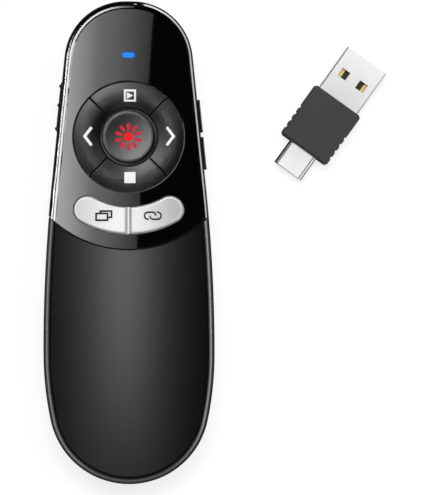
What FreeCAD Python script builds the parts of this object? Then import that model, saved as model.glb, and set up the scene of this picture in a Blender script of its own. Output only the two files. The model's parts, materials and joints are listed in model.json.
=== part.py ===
import FreeCAD, Part
import math
import os

from FreeCAD import Vector

# A hand-held presentation clicker with its plug-in receiver. Millimetres.
# The clicker lies on its back: face up (+Z), laser end towards +Y.
# The origin is the middle of the flat it rests on.

# Handset outline, seen from above
handset_length = 120.0
handset_width = 42.6
nose_width = 32.0
nose_shoulder = 15.0
nose_crown_radius = 40.7
nose_corner_radius = 15.0
side_arc_run = 40.6
widest_from_tail = 32.5
tail_narrowing = 1.3

# Handset heights and crown
apex_height = 22.4
parting_drop = 8.9
parting_reveal = 0.2
crown_across_radius = 130.0
crown_along_radius = 650.0
crown_half_span = 30.0
crown_depth = 40.0
rear_edge_clearance = 5.5
shell_wall = 1.8
overrun = 15.0

# Rim, glossy plate and matte grip
rim_width = 1.05
rim_shoulder_radius = 0.9
skin_thickness = 1.45
skin_gap = 0.18
deck_thickness = 1.2
plate_bevel_width = 0.62
plate_bevel_depth = 0.13
plate_bevel_blend = 1.8
skin_inner_round = 0.12
grip_wall = 1.2
grip_edge_radius = 2.4
seam_radius = 27.8

# Ring of four keys and the round key in its middle
ring_from_nose = 33.6
ring_radius = 13.5
ring_hole_gap = 0.3
ring_inner_radius = 7.05
ring_crest_radius = 10.2
ring_crest_rise = 0.45
ring_outer_drop = 0.15
ring_inner_drop = 0.85
ring_edge_round = 0.3
ring_slot = 0.36
ring_nub_radius_place = 10.2
laser_key_radius = 6.55
laser_key_drop = 0.1
laser_key_rim_round = 0.5
laser_key_dish_radius = 5.65
laser_key_dish_depth = 0.3
flange_width = 0.9
flange_thickness = 0.8
flange_gap = 0.2
key_travel = 0.4
nub_radius = 1.3

# Two silver keys under the ring, on an arc round its centre
band_radius = 20.7
band_half_width = 3.2
band_end_angle = 29.7
band_split = 1.2
band_hole_gap = 0.2
band_rise = 0.35
band_edge_round = 0.45
band_nub_angle = 16.5
divider_gap = 0.06
divider_rib_width = 0.42
divider_rib_rise = 0.25
divider_rib_round = 0.1
divider_floor_drop = 0.05

# Circuit board and its switches
board_drop = 9.8
board_thickness = 1.0
board_inset = 3.2
board_setback = 0.4
board_nose_inset = 10.5
switch_side = 4.4
switch_height = 1.9
switch_bevel = 0.3
stem_radius = 1.1
stem_out = 0.8
stem_in = 0.9
stem_clearance = 0.06
stem_gap = 0.05
stem_floor = 0.1
chip_side = 6.0
chip_height = 0.9
chip_from_ring = -1.5
chip_left = 8.0
crystal_length = 3.2
crystal_width = 1.8
crystal_height = 0.8
crystal_gap = 1.5

# Status light
light_length = 3.4
light_width = 1.5
light_from_nose = 13.4
light_clearance = 0.02
light_gap = 0.1
led_length = 2.2
led_width = 1.3
led_height = 0.8
led_bevel = 0.2

# Laser
laser_drop = 12.9
laser_radius = 2.9
laser_length = 14.0
laser_nozzle_radius = 2.0
laser_nozzle_length = 1.2
laser_bore_radius = 1.1
laser_bore_depth = 3.0
laser_cradle_wall = 1.2
laser_cradle_length = 3.0
laser_cradle_spacing = 7.0
laser_cradle_clearance = 0.03
window_radius = 2.6
window_recess = 0.2
window_lip_radius = 3.3
window_lip_thickness = 0.7
window_clearance = 0.03
window_round = 0.25

# Keys on the right side and the slider on the left side
side_key_drop = 11.8
side_key_tall = 4.0
side_key_proud = 0.65
side_key_corner = 1.1
side_key_edge = 0.25
side_key_gap = 0.12
side_flange_width = 0.6
side_flange_end = 0.35
side_flange_thickness = 0.8
side_flange_gap = 0.08
side_key_length = 8.2
side_key_travel = 0.4
volume_up_from_ring = 5.5
volume_down_from_ring = -3.8
side_nub_radius = 1.1
side_nub_length = 0.4
side_stem_radius = 0.8
side_switch_length = 4.6
side_switch_depth = 2.6
side_switch_tall = 3.6
slider_from_ring = 7.7
slider_length = 12.4
slider_proud = 0.7
slider_lift = 0.06
slider_travel = 2.2
slider_rib_width = 0.6
slider_rib_rise = 0.3
slider_rib_tall = 3.0
slider_rib_upper = 5.3
slider_rib_middle = 0.5
slider_rib_lower = -5.4
neck_length = 4.0
neck_tall = 2.0
neck_clearance = 0.12
slider_plate_extra = 1.2
slider_plate_tall = 3.4
lever_side = 1.2
lever_clearance = 0.08
lever_in = 1.0
slide_switch_length = 8.8
slide_switch_depth = 3.6
slide_switch_tall = 3.7
slide_switch_gap = 0.35

# Screws
screw_radius = 1.0
screw_top_drop = 6.2
screw_head_radius = 1.9
screw_head_height = 1.3
screw_head_gap = 0.15
screw_clearance = 0.02
screw_slot_width = 0.5
screw_slot_length = 2.5
screw_slot_depth = 0.6
screw_bevel = 0.3
boss_radius = 2.7
front_boss_radius = 2.2
nose_screw_x = 8.6
nose_screw_from_nose = 17.0
waist_screw_x = 11.2
waist_screw_from_ring = 25.1
tail_screw_x = 7.4
tail_screw_from_tail = 9.8
nose_screw_seat = 5.2
tail_screw_seat = 3.9
tail_screw_top_drop = 7.5
boss_floor = 1.2

# Battery bay, receiver pocket and the cover that slides off them
cover_from_ring = 28.0
cover_top = 6.0
cover_gap = 0.1
cover_wall = 1.6
cover_clearance = 0.35
bay_bottom = 2.5
bay_plate_thickness = 1.5
bay_roof = 0.8
bay_wall = 1.0
bulkhead_thickness = 1.4
bulkhead_gap = 0.3
battery_radius = 5.25
battery_can_length = 43.7
battery_nub_radius = 1.9
battery_nub_length = 0.8
battery_shoulder = 0.4
battery_gap = 0.15
battery_axis_height = 7.15
contact_thickness = 0.4
contact_width = 6.4
contact_tall = 7.0
contact_gap = 0.05
spring_wire_radius = 0.3
spring_radius_wide = 2.9
spring_radius_narrow = 1.6
spring_turns = 4.0
spring_length = 2.9
pocket_width = 14.8
pocket_length = 35.2
pocket_depth = 7.3
pocket_roof = 1.1
rail_out = 0.8
rail_bottom = 2.6
rail_tall = 1.0
rail_from_front = 5.4
rail_length = 32.0
hook_gap = 0.2
hook_wall = 1.0
hook_tall = 1.0
hook_length = 5.0
hook_from_front = 8.4
hook_pitch = 21.0
tongue_width = 8.0
tongue_length = 1.2
tongue_tall = 0.5
tongue_lift = 0.05
tongue_gap = 0.2
thumb_from_front = 8.0
thumb_length = 8.0
thumb_width = 16.0
thumb_depth = 0.7
thumb_ribs = 4
thumb_rib_width = 0.7
thumb_rib_gap = 0.9

# Receiver, lying flat beside the handset
receiver_x = 49.75
receiver_y = 32.3
receiver_turn = -35.7
receiver_width = 14.2
receiver_length = 15.2
receiver_tall = 6.4
receiver_wall = 1.0
receiver_chamfer = 0.7
receiver_end_chamfer = 0.6
receiver_groove_count = 4
receiver_groove_pitch = 2.0
receiver_groove_width = 0.9
receiver_groove_depth = 0.3
receiver_groove_start = 2.0
receiver_recess_width = 10.4
receiver_recess_tall = 3.8
receiver_recess_depth = 0.5
plug_clearance = 0.03
usb_a_width = 12.0
usb_a_tall = 4.5
usb_a_out = 12.5
usb_a_in = 4.0
usb_a_wall = 0.3
usb_a_corner = 0.5
usb_a_window = 2.3
usb_a_window_wide = 2.4
usb_a_window_spacing = 5.4
usb_a_window_from_tip = 5.1
usb_a_dimple_radius = 0.55
usb_a_dimple_depth = 0.15
usb_a_dimple_from_tip = 10.3
usb_a_tongue_tall = 1.9
usb_a_tongue_setback = 0.5
usb_a_side_gap = 0.1
usb_a_contact_width = 1.1
usb_a_contact_tall = 0.12
usb_a_contact_length = 8.4
usb_a_contact_setback = 1.2
usb_a_contact_inner_place = 1.05
usb_a_contact_outer_place = 3.5
usb_c_width = 8.25
usb_c_tall = 2.4
usb_c_out = 6.65
usb_c_in = 3.0
usb_c_wall = 0.3
usb_c_liner_width = 6.7
usb_c_liner_tall = 1.0
usb_c_liner_setback = 0.4
usb_c_liner_floor = 4.2
usb_c_contact_count = 6
usb_c_contact_pitch = 1.0
usb_c_contact_width = 0.4
usb_c_contact_tall = 0.1
usb_c_contact_length = 3.0
usb_c_contact_setback = 0.9
receiver_board_width = 11.0
receiver_board_thickness = 0.8
receiver_board_gap = 0.1
receiver_chip_side = 4.0
receiver_chip_height = 0.8

# Places worked out from the sizes
nose_y = handset_length / 2
tail_y = -handset_length / 2
half_width = handset_width / 2
tail_radius = half_width - tail_narrowing
widest_y = tail_y + widest_from_tail
ring_y = nose_y - ring_from_nose
light_y = nose_y - light_from_nose
volume_up_y = ring_y + volume_up_from_ring
volume_down_y = ring_y + volume_down_from_ring
slider_y = ring_y + slider_from_ring
cover_front = ring_y - cover_from_ring
rail_front = cover_front - rail_from_front
hook_front = cover_front - hook_from_front
board_tail = cover_front + board_setback

# The sides narrow from the widest place to the nose, first on an arc and then straight
side_run = nose_y - nose_shoulder - widest_y
taper = math.atan2((handset_width - nose_width) / 2, side_run - side_arc_run / 2)
side_radius = side_arc_run / math.sin(taper)

# Heights hang from the top of the crown, as the keys stand on their switches and these on the board
parting_height = apex_height - parting_drop
rear_edge_radius = parting_height - rear_edge_clearance
board_height = apex_height - board_drop
bulkhead_top = board_height - bulkhead_gap
board_top = board_height + board_thickness
switch_top = board_top + switch_height
stem_top = switch_top + stem_out
laser_height = apex_height - laser_drop
side_key_height = apex_height - side_key_drop
flange_reach = ring_radius + flange_width
battery_room = 2 * (battery_radius + battery_gap)
bay_half_width = (3 * bay_wall + battery_room + pocket_width) / 2
battery_x = -bay_half_width + bay_wall + battery_gap + battery_radius
battery_front = cover_front - bay_wall - contact_thickness - contact_gap
battery_back = battery_front - battery_nub_length - battery_can_length
spring_back = battery_back - contact_gap - spring_length - spring_wire_radius
bay_back = spring_back - contact_gap - contact_thickness - bay_wall
pocket_x = bay_half_width - bay_wall - pocket_width / 2
receiver_total = usb_a_out + receiver_length + usb_c_out
deck_depth = skin_thickness + deck_thickness
sky = apex_height + overrun
right = Vector(1, 0, 0)
ahead = Vector(0, 1, 0)
up = Vector(0, 0, 1)


def box(x_range, y_range, z_range):
    corner = Vector(x_range[0], y_range[0], z_range[0])
    width = x_range[1] - x_range[0]
    depth = y_range[1] - y_range[0]
    height = z_range[1] - z_range[0]
    return Part.makeBox(width, depth, height, corner)


def about(middle, size):
    return (middle - size / 2, middle + size / 2)


def arc(start, middle, end):
    return Part.Arc(start, middle, end).toShape()


def line(start, end):
    return Part.LineSegment(start, end).toShape()


def on_circle(centre, radius, angle):
    return centre + Vector(radius * math.cos(angle), radius * math.sin(angle), 0)


def arc_about(centre, radius, start, end):
    middle = (start + end) / 2
    points = [on_circle(centre, radius, angle) for angle in (start, middle, end)]
    return arc(*points)


def angle_to(centre, point):
    return math.atan2(point.y - centre.y, point.x - centre.x)


def mirrored(shape):
    return shape.mirror(Vector(0, 0, 0), right)


def extruded(edges, bottom, top):
    face = Part.Face(Part.Wire(Part.__sortEdges__(edges)))
    face.translate(Vector(0, 0, bottom))
    return face.extrude(Vector(0, 0, top - bottom))


def joined(shapes):
    first = shapes[0]
    if len(shapes) > 1:
        first = first.fuse(shapes[1:])
    return first.removeSplitter()


def rounded(solid, radius, chosen):
    edges = [edge for edge in solid.Edges if chosen(edge)]
    return solid.makeFillet(radius, edges)


def bevelled(solid, size, chosen):
    edges = [edge for edge in solid.Edges if chosen(edge)]
    return solid.makeChamfer(size, edges)


def nearly(value, target):
    return abs(value - target) < overrun / 10000


def lies_at(edge, height):
    """True for an edge that lies level at this height."""
    return nearly(edge.BoundBox.ZMin, height) and nearly(edge.BoundBox.ZMax, height)


def outline_edges(inset):
    """The handset seen from above, drawn in from its outer edge by inset, as tangent arcs."""
    crown_centre = Vector(0, nose_y - nose_crown_radius, 0)
    side_centre = Vector(half_width - side_radius, widest_y, 0)
    outward = Vector(math.cos(taper), math.sin(taper), 0)
    forward = Vector(-math.sin(taper), math.cos(taper), 0)
    inner_start = side_centre + outward * (side_radius - nose_corner_radius)
    offset = inner_start - crown_centre
    reach = nose_crown_radius - nose_corner_radius
    along = offset.dot(forward)
    run = -along + math.sqrt(along ** 2 - offset.dot(offset) + reach ** 2)
    corner_centre = inner_start + forward * run
    tail_centre = Vector(0, tail_y + tail_radius, 0)
    fall = widest_from_tail - tail_radius
    flank_radius = (half_width ** 2 + fall ** 2 - tail_radius ** 2) / (2 * (half_width - tail_radius))
    flank_centre = Vector(half_width - flank_radius, widest_y, 0)
    crown_turn = angle_to(crown_centre, corner_centre)
    tail_turn = angle_to(flank_centre, tail_centre)
    corner = nose_corner_radius - inset
    half = [
        arc_about(corner_centre, corner, crown_turn, taper),
        line(on_circle(corner_centre, corner, taper), on_circle(side_centre, side_radius - inset, taper)),
        arc_about(side_centre, side_radius - inset, taper, 0),
        arc_about(flank_centre, flank_radius - inset, 0, tail_turn),
    ]
    nose = arc_about(crown_centre, nose_crown_radius - inset, crown_turn, math.pi - crown_turn)
    tail = arc_about(tail_centre, tail_radius - inset, tail_turn, -math.pi - tail_turn)
    return half + [nose] + [mirrored(edge) for edge in half] + [tail]


def side_wall_point(y):
    """The point of the straight right side wall, on its outside, at this y."""
    side_centre = Vector(half_width - side_radius, widest_y, 0)
    start = on_circle(side_centre, side_radius, taper)
    run = (y - start.y) / math.cos(taper)
    return start + Vector(-math.sin(taper), math.cos(taper), 0) * run


def on_side(shape, y):
    """Move a shape drawn about the origin, +X outwards, to the right side wall."""
    placed = shape.copy()
    placed.rotate(Vector(0, 0, 0), up, math.degrees(taper))
    place = side_wall_point(y)
    placed.translate(Vector(place.x, place.y, side_key_height))
    return placed


def crown_height(x, y, depth):
    """Height of the crowned face, sunk by depth, over a point."""
    across = math.sqrt((crown_across_radius - depth) ** 2 - x ** 2)
    from_axis = crown_along_radius - crown_across_radius + across
    return apex_height - crown_along_radius + math.sqrt(from_axis ** 2 - (y - ring_y) ** 2)


def under_crown(depth):
    """Everything below the crowned face, sunk by depth: a slice of a very large torus."""
    radius = crown_across_radius - depth
    centre = Vector(0, ring_y, apex_height - crown_across_radius)
    rise = math.sqrt(radius ** 2 - crown_half_span ** 2)
    left = centre + Vector(-crown_half_span, 0, rise)
    right_end = centre + Vector(crown_half_span, 0, rise)
    top = centre + Vector(0, 0, radius)
    low_left = Vector(left.x, left.y, apex_height - crown_depth)
    low_right = Vector(right_end.x, right_end.y, apex_height - crown_depth)
    edges = [
        arc(left, top, right_end),
        line(right_end, low_right),
        line(low_right, low_left),
        line(low_left, left),
    ]
    face = Part.Face(Part.Wire(edges))
    axis_point = Vector(0, ring_y, apex_height - crown_along_radius)
    turn = math.degrees(math.asin(handset_length / crown_along_radius))
    face.rotate(axis_point, right, -turn)
    return face.revolve(axis_point, right, 2 * turn)


def above_board(edge):
    return edge.BoundBox.ZMin > parting_height + shell_wall / 2


def rod(radius, x, y_range, z):
    """A round bar that runs towards the nose."""
    return Part.makeCylinder(radius, y_range[1] - y_range[0], Vector(x, y_range[0], z), ahead)


def rod_outwards(radius, x_range):
    """A round bar along X through the origin."""
    return Part.makeCylinder(radius, x_range[1] - x_range[0], Vector(x_range[0], 0, 0), right)


def disc(x, y, radius, bottom, top):
    return Part.makeCylinder(radius, top - bottom, Vector(x, y, bottom), up)


def slot_prism(x, y, length, width, bottom, top):
    """A round-ended bar along X, standing up."""
    straight = length - width
    bar = box(about(x, straight), about(y, width), (bottom, top))
    ends = [disc(x + side * straight / 2, y, width / 2, bottom, top) for side in (-1, 1)]
    return joined([bar] + ends)


def seam_region(radius):
    """Plan region of the glossy plate: all that lies towards the nose from the seam arc."""
    bowl = disc(0, ring_y, radius, -overrun, sky)
    rest = box(about(0, 2 * radius), (ring_y, nose_y + overrun), (-overrun, sky))
    return bowl.fuse(rest)


def band_shape(grow, bottom, top, split):
    """Plan of one silver key, the right-hand one: an arc round the ring with a round outer end."""
    centre = Vector(0, ring_y, 0)
    end = -math.pi / 2 + math.radians(band_end_angle)
    inner = band_radius - band_half_width - grow
    outer = band_radius + band_half_width + grow
    cap_centre = on_circle(centre, band_radius, end)
    cap_out = on_circle(cap_centre, band_half_width + grow, end + math.pi / 2)
    down = -math.pi / 2
    edges = [
        arc_about(centre, outer, down, end),
        arc(on_circle(centre, outer, end), cap_out, on_circle(centre, inner, end)),
        arc_about(centre, inner, end, down),
        line(on_circle(centre, inner, down), on_circle(centre, outer, down)),
    ]
    whole = extruded(edges, bottom, top)
    if split:
        side = box((split, overrun + half_width), (tail_y, nose_y), (bottom - overrun, top + overrun))
        whole = whole.common(side)
    return whole


def band_hole(grow, bottom, top):
    one = band_shape(grow, bottom, top, 0)
    return one.fuse(mirrored(one)).removeSplitter()


def outer_blank(inset):
    """The rear shell's outer form, drawn in by inset, up to the parting face."""
    blank = extruded(outline_edges(inset), inset, parting_height)
    return rounded(blank, rear_edge_radius - inset, lambda edge: nearly(edge.BoundBox.ZMax, inset))


def screw_places():
    """Where each screw stands, the height of its head's seat, and the height of its tip."""
    tip = apex_height - screw_top_drop
    nose = [(side * nose_screw_x, nose_y - nose_screw_from_nose, nose_screw_seat, tip) for side in (-1, 1)]
    waist = [(side * waist_screw_x, ring_y - waist_screw_from_ring, nose_screw_seat, tip) for side in (-1, 1)]
    tail_tip = apex_height - tail_screw_top_drop
    return nose + waist + [(tail_screw_x, tail_y + tail_screw_from_tail, tail_screw_seat, tail_tip)]


def side_key_opening(length, tall, back, front):
    return box((back, front), about(0, length), about(0, tall))


def rear_housing():
    shell = outer_blank(0).cut(outer_blank(shell_wall))
    lower = outline_edges(shell_wall / 2)
    plate_top = cover_top + cover_gap + bay_plate_thickness
    behind = box(about(0, 2 * half_width), (tail_y, cover_front + bulkhead_thickness), (0, parting_height))
    plate = extruded(lower, cover_top + cover_gap, plate_top).common(behind)
    wall = box(about(0, handset_width), (cover_front, cover_front + bulkhead_thickness), (0, bulkhead_top))
    bulkhead = wall.common(outer_blank(shell_wall / 2))
    bay_room = outer_blank(cover_wall + cover_clearance)
    battery_top = battery_axis_height + battery_room / 2 + bay_roof
    battery_side = -bay_half_width + 2 * bay_wall + battery_room
    battery_block = box((-bay_half_width, battery_side), (bay_back, cover_front), (bay_bottom, battery_top))
    pocket_back = cover_front - 2 * bay_wall - pocket_length
    pocket_top = bay_bottom + pocket_depth
    pocket_block = box(
        (battery_side - bay_wall, bay_half_width), (pocket_back, cover_front), (bay_bottom, pocket_top)
    )
    rail_reach = bay_half_width + rail_out
    rail_span = (rail_front - rail_length, rail_front)
    rails = box(about(0, 2 * rail_reach), rail_span, (rail_bottom, rail_bottom + rail_tall))
    block = battery_block.fuse([pocket_block, rails]).common(bay_room)
    solid = shell.fuse([plate, bulkhead])
    cover_span = (tail_y - overrun, cover_front)
    solid = solid.cut(box(about(0, 2 * handset_width), cover_span, (-overrun, cover_top + cover_gap)))
    bosses = []
    for x, y, seat, tip in screw_places():
        bottom = seat - boss_floor if y < cover_front else shell_wall / 2
        top = board_height if y > cover_front else parting_height
        bosses.append(disc(x, y, boss_radius, bottom, top).common(outer_blank(shell_wall / 2)))
    solid = solid.fuse([block] + bosses + laser_cradles())
    cuts = []
    bay_span = (battery_back - contact_gap, cover_front - bay_wall)
    cuts.append(box(about(battery_x, battery_room), bay_span, (-overrun, battery_axis_height)))
    cuts.append(rod(battery_room / 2, battery_x, bay_span, battery_axis_height))
    contact_room = about(battery_x, contact_width + 2 * battery_gap)
    contact_top = battery_axis_height + contact_tall / 2 + battery_gap
    cuts.append(box(contact_room, (bay_back + bay_wall, battery_back), (-overrun, contact_top)))
    pocket_span = (pocket_back + bay_wall, cover_front - bay_wall)
    cuts.append(box(about(pocket_x, pocket_width), pocket_span, (-overrun, pocket_top - pocket_roof)))
    for x, y, seat, tip in screw_places():
        cuts.append(disc(x, y, screw_radius + screw_head_gap, 0, parting_height))
        cuts.append(disc(x, y, screw_head_radius + screw_head_gap, -overrun, seat))
    window_span = (nose_y - shell_wall - window_lip_thickness, nose_y + overrun)
    cuts.append(rod(window_radius + window_clearance, 0, window_span, laser_height))
    for y in (volume_up_y, volume_down_y):
        hole = side_key_opening(
            side_key_length + 2 * side_key_gap, side_key_tall + 2 * side_key_gap, -2 * shell_wall, shell_wall
        )
        cuts.append(on_side(rounded_bar(hole, side_key_corner + side_key_gap), y))
    slot_low = -neck_length / 2 - slider_travel - neck_clearance
    slot_high = neck_length / 2 + neck_clearance
    slot = box((-2 * shell_wall, shell_wall), (slot_low, slot_high), about(0, neck_tall + 2 * neck_clearance))
    cuts.append(mirrored(on_side(slot, slider_y)))
    tongue_room = box(
        about(0, tongue_width + 2 * tongue_gap),
        (cover_front - tongue_gap, cover_front + 2 * bulkhead_thickness),
        (shell_wall, shell_wall + tongue_lift + tongue_tall + tongue_gap),
    )
    cuts.append(tongue_room)
    return solid.cut(cuts).removeSplitter()


def laser_cradles():
    """Two upright yokes that hold the laser barrel off the rear wall."""
    yokes = []
    front = nose_y - shell_wall - window_lip_thickness - laser_nozzle_length - laser_cradle_length
    outer = laser_radius + laser_cradle_wall
    for step in range(2):
        y = front - step * laser_cradle_spacing
        base = box(about(0, 2 * outer), (y - laser_cradle_length, y), (shell_wall / 2, laser_height))
        bore = rod(laser_radius + laser_cradle_clearance, 0, about(y, 2 * overrun), laser_height)
        yokes.append(base.cut(bore))
    return yokes


def rounded_bar(bar, radius):
    """Round the four edges of a side key's prism that run outwards."""
    def runs_outward(edge):
        bound = edge.BoundBox
        return bound.YLength < bound.XLength / 2 and bound.ZLength < bound.XLength / 2
    return rounded(bar, radius, runs_outward)


def front_housing():
    blank = extruded(outline_edges(0), parting_height, sky).common(under_crown(0))
    head = rounded(blank, rim_shoulder_radius, above_board).common(seam_region(seam_radius))
    under_grip = grip_wall + skin_gap
    tail = extruded(outline_edges(under_grip), parting_height, sky).common(under_crown(skin_thickness))
    pocket = extruded(outline_edges(rim_width), parting_height, sky).cut(under_crown(skin_thickness))
    hollow = extruded(outline_edges(shell_wall), parting_height - overrun, sky)
    hollow = hollow.common(seam_region(seam_radius - shell_wall))
    hollow = hollow.fuse(extruded(outline_edges(under_grip + deck_thickness), parting_height - overrun, sky))
    hollow = hollow.common(under_crown(deck_depth))
    reveal_top = parting_height + parting_reveal
    reveal = extruded(outline_edges(-parting_reveal), parting_height, reveal_top)
    reveal = reveal.cut(extruded(outline_edges(parting_reveal), parting_height, reveal_top))
    solid = head.fuse(tail).cut([pocket, hollow, reveal])
    pillars = []
    for x, y, seat, tip in screw_places():
        bottom = board_top if y > cover_front else parting_height
        pillar = disc(x, y, front_boss_radius, bottom, apex_height)
        pillars.append(pillar.common(under_crown(deck_depth - deck_thickness / 2)))
    solid = solid.fuse(pillars)
    cuts = [disc(0, ring_y, ring_radius + 2 * ring_hole_gap, board_top, sky)]
    cuts.append(band_hole(2 * band_hole_gap, board_top, sky))
    cuts.append(light_slot(light_gap))
    for x, y, seat, tip in screw_places():
        cuts.append(disc(x, y, screw_radius + screw_clearance, 0, tip + screw_clearance))
    return solid.cut(cuts).removeSplitter()


def light_slot(grow):
    return slot_prism(0, light_y, light_length + 2 * grow, light_width + 2 * grow, board_top, sky)


def skin_sheet():
    """The sheet that fills the rim, before its outer top edge is finished."""
    sheet = extruded(outline_edges(rim_width + skin_gap), parting_height, sky)
    return sheet.common(under_crown(0))


def edge_middle(edge):
    return edge.valueAt((edge.FirstParameter + edge.LastParameter) / 2)


def on_crown(edge):
    """True for an edge whose middle lies on the crowned face."""
    middle = edge_middle(edge)
    return nearly(middle.z, crown_height(middle.x, middle.y, 0))


def inner_edges_softened(sheet):
    """Round the top edges of the holes and of the seam, which lie well in from the outline."""
    inside = extruded(outline_edges(rim_width + 3 * plate_bevel_width), parting_height, sky)

    def is_inner(edge):
        return on_crown(edge) and inside.isInside(edge_middle(edge), 0, True)

    return rounded(sheet, skin_inner_round, is_inner)


def faceplate():
    sheet = skin_sheet()
    edges = [edge for edge in sheet.Edges if above_board(edge)]
    sheet = sheet.makeChamfer(plate_bevel_depth, plate_bevel_width, edges)
    sheet = rounded(sheet, plate_bevel_blend, lambda edge: above_board(edge) and on_crown(edge))
    plate = sheet.cut(under_crown(skin_thickness)).common(seam_region(seam_radius))
    ring_hole = disc(0, ring_y, ring_radius + ring_hole_gap, board_top, sky)
    plate = plate.cut([ring_hole, band_hole(band_hole_gap, board_top, sky)])
    return inner_edges_softened(plate).cut(light_slot(light_clearance))


def grip_cover():
    """A cap over the tail half, out to the side walls, with a full soft roll round its edge."""
    cap = extruded(outline_edges(0), parting_height + parting_reveal, sky).common(under_crown(0))
    cap = rounded(cap, grip_edge_radius, above_board)
    inside = extruded(outline_edges(grip_wall), parting_height, sky).common(under_crown(skin_thickness))
    cover = cap.cut([inside, seam_region(seam_radius + skin_gap)])
    return inner_edges_softened(cover)


def ring_key_whole():
    """The ring's section turned about its upright axis: four keys before they are parted."""
    flange_top = crown_height(flange_reach, ring_y, deck_depth) - flange_gap
    flange_bottom = flange_top - flange_thickness

    def at(radius, height):
        return Vector(radius, ring_y, height)

    outer_top = apex_height - ring_outer_drop
    inner_top = apex_height - ring_inner_drop
    crest = at(ring_crest_radius, apex_height + ring_crest_rise)
    edges = [
        arc(at(ring_inner_radius, inner_top), crest, at(ring_radius, outer_top)),
        line(at(ring_radius, outer_top), at(ring_radius, flange_top)),
        line(at(ring_radius, flange_top), at(flange_reach, flange_top)),
        line(at(flange_reach, flange_top), at(flange_reach, flange_bottom)),
        line(at(flange_reach, flange_bottom), at(ring_inner_radius, flange_bottom)),
        line(at(ring_inner_radius, flange_bottom), at(ring_inner_radius, inner_top)),
    ]
    ring = Part.Face(Part.Wire(edges)).revolve(Vector(0, ring_y, 0), up, 360)
    ring = rounded(ring, ring_edge_round, lambda edge: lies_at(edge, outer_top))
    return ring, flange_bottom


def ring_key(quarter):
    """One of the four ring keys: quarter 0 is towards the nose, then on to the left."""
    ring, flange_bottom = ring_key_whole()
    reach = 2 * flange_reach
    turn = 90 * quarter
    wedge_edges = [
        line(Vector(0, 0, 0), Vector(reach, reach, 0)),
        line(Vector(reach, reach, 0), Vector(-reach, reach, 0)),
        line(Vector(-reach, reach, 0), Vector(0, 0, 0)),
    ]
    wedge = extruded(wedge_edges, 0, sky)
    wedge.translate(Vector(0, ring_slot / math.sqrt(2), 0))
    wedge.rotate(Vector(0, 0, 0), up, turn)
    wedge.translate(Vector(0, ring_y, 0))
    key = ring.common(wedge)

    def parts_the_keys(edge):
        bound = edge.BoundBox
        crosses_crest = bound.ZMax > apex_height + ring_crest_rise / 2
        return crosses_crest and bound.ZMin > apex_height - 2 * ring_inner_drop

    key = rounded(key, ring_edge_round / 2, parts_the_keys)
    x, y = ring_nub_place(quarter)
    nub = disc(x, y, nub_radius, stem_top + stem_gap, flange_bottom + flange_thickness / 2)
    return key.fuse(nub).removeSplitter()


def ring_nub_place(quarter):
    angle = math.pi / 2 * (quarter + 1)
    return ring_nub_radius_place * math.cos(angle), ring_y + ring_nub_radius_place * math.sin(angle)


def laser_key():
    ring_bottom = crown_height(flange_reach, ring_y, deck_depth) - flange_gap - flange_thickness
    flange_top = ring_bottom - key_travel - flange_gap
    flange_bottom = flange_top - flange_thickness
    top = apex_height - laser_key_drop
    key = disc(0, ring_y, laser_key_radius, flange_bottom, top)
    key = rounded(key, laser_key_rim_round, lambda edge: nearly(edge.BoundBox.ZMin, top))
    dish_ball = (laser_key_dish_radius ** 2 + laser_key_dish_depth ** 2) / (2 * laser_key_dish_depth)
    dish = Part.makeSphere(dish_ball, Vector(0, ring_y, top + dish_ball - laser_key_dish_depth))
    flange = disc(0, ring_y, ring_inner_radius + flange_width / 2, flange_bottom, flange_top)
    nub = disc(0, ring_y, nub_radius, stem_top + stem_gap, flange_bottom + flange_thickness / 2)
    return key.cut(dish).fuse([flange, nub]).removeSplitter()


def band_nub_place(side):
    angle = -math.pi / 2 + side * math.radians(band_nub_angle)
    return band_radius * math.cos(angle), ring_y + band_radius * math.sin(angle)


def band_key(side):
    """One silver key: side 1 is the right-hand one, -1 the left-hand one."""
    end = math.radians(band_end_angle)
    reach = band_half_width + flange_width
    far_x = band_radius * math.sin(end) + reach
    low_y = ring_y - band_radius - reach
    flange_top = crown_height(far_x, low_y, deck_depth) - flange_gap
    flange_bottom = flange_top - flange_thickness
    key = band_shape(0, flange_bottom, sky, band_split / 2).common(under_crown(-band_rise))
    key = rounded(key, band_edge_round, lambda edge: edge.BoundBox.ZMin > flange_top + flange_thickness)
    flange = band_shape(flange_width, flange_bottom, flange_top, band_split / 2)
    x, y = band_nub_place(1)
    nub = disc(x, y, nub_radius, stem_top + stem_gap, flange_bottom + flange_thickness / 2)
    key = key.fuse([flange, nub]).removeSplitter()
    return key if side > 0 else mirrored(key)


def key_divider():
    """The silver bar between the two silver keys: a low floor with a rib along its middle."""
    low = crown_height(0, ring_y - band_radius, deck_depth)
    floor = box(about(0, band_split - 2 * divider_gap), (tail_y, ring_y), (low, sky))
    floor = floor.common(under_crown(divider_floor_drop))
    floor = floor.common(band_hole(band_hole_gap - divider_gap, low, sky))
    rib = box(about(0, divider_rib_width), (tail_y, ring_y), (low, sky))
    rib = rib.common(under_crown(-divider_rib_rise)).common(band_hole(0, low, sky))
    middle = crown_height(0, ring_y - band_radius, 0)
    rib = rounded(rib, divider_rib_round, lambda edge: edge.BoundBox.ZMin > middle)
    return floor.fuse(rib).removeSplitter()


def stem(x, y):
    return disc(x, y, stem_radius, switch_top - stem_in, stem_top)


def switch_body(x, y):
    body = box(about(x, switch_side), about(y, switch_side), (board_top, switch_top))
    body = bevelled(body, switch_bevel, lambda edge: nearly(edge.BoundBox.ZMin, switch_top))
    floor = switch_top - stem_in - key_travel - stem_floor
    return body.cut(disc(x, y, stem_radius + stem_clearance, floor, apex_height))


def face_switch_places():
    ring = [ring_nub_place(quarter) for quarter in range(4)]
    return ring + [(0, ring_y), band_nub_place(-1), band_nub_place(1)]


def face_switches():
    return Part.makeCompound([switch_body(x, y) for x, y in face_switch_places()])


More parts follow.
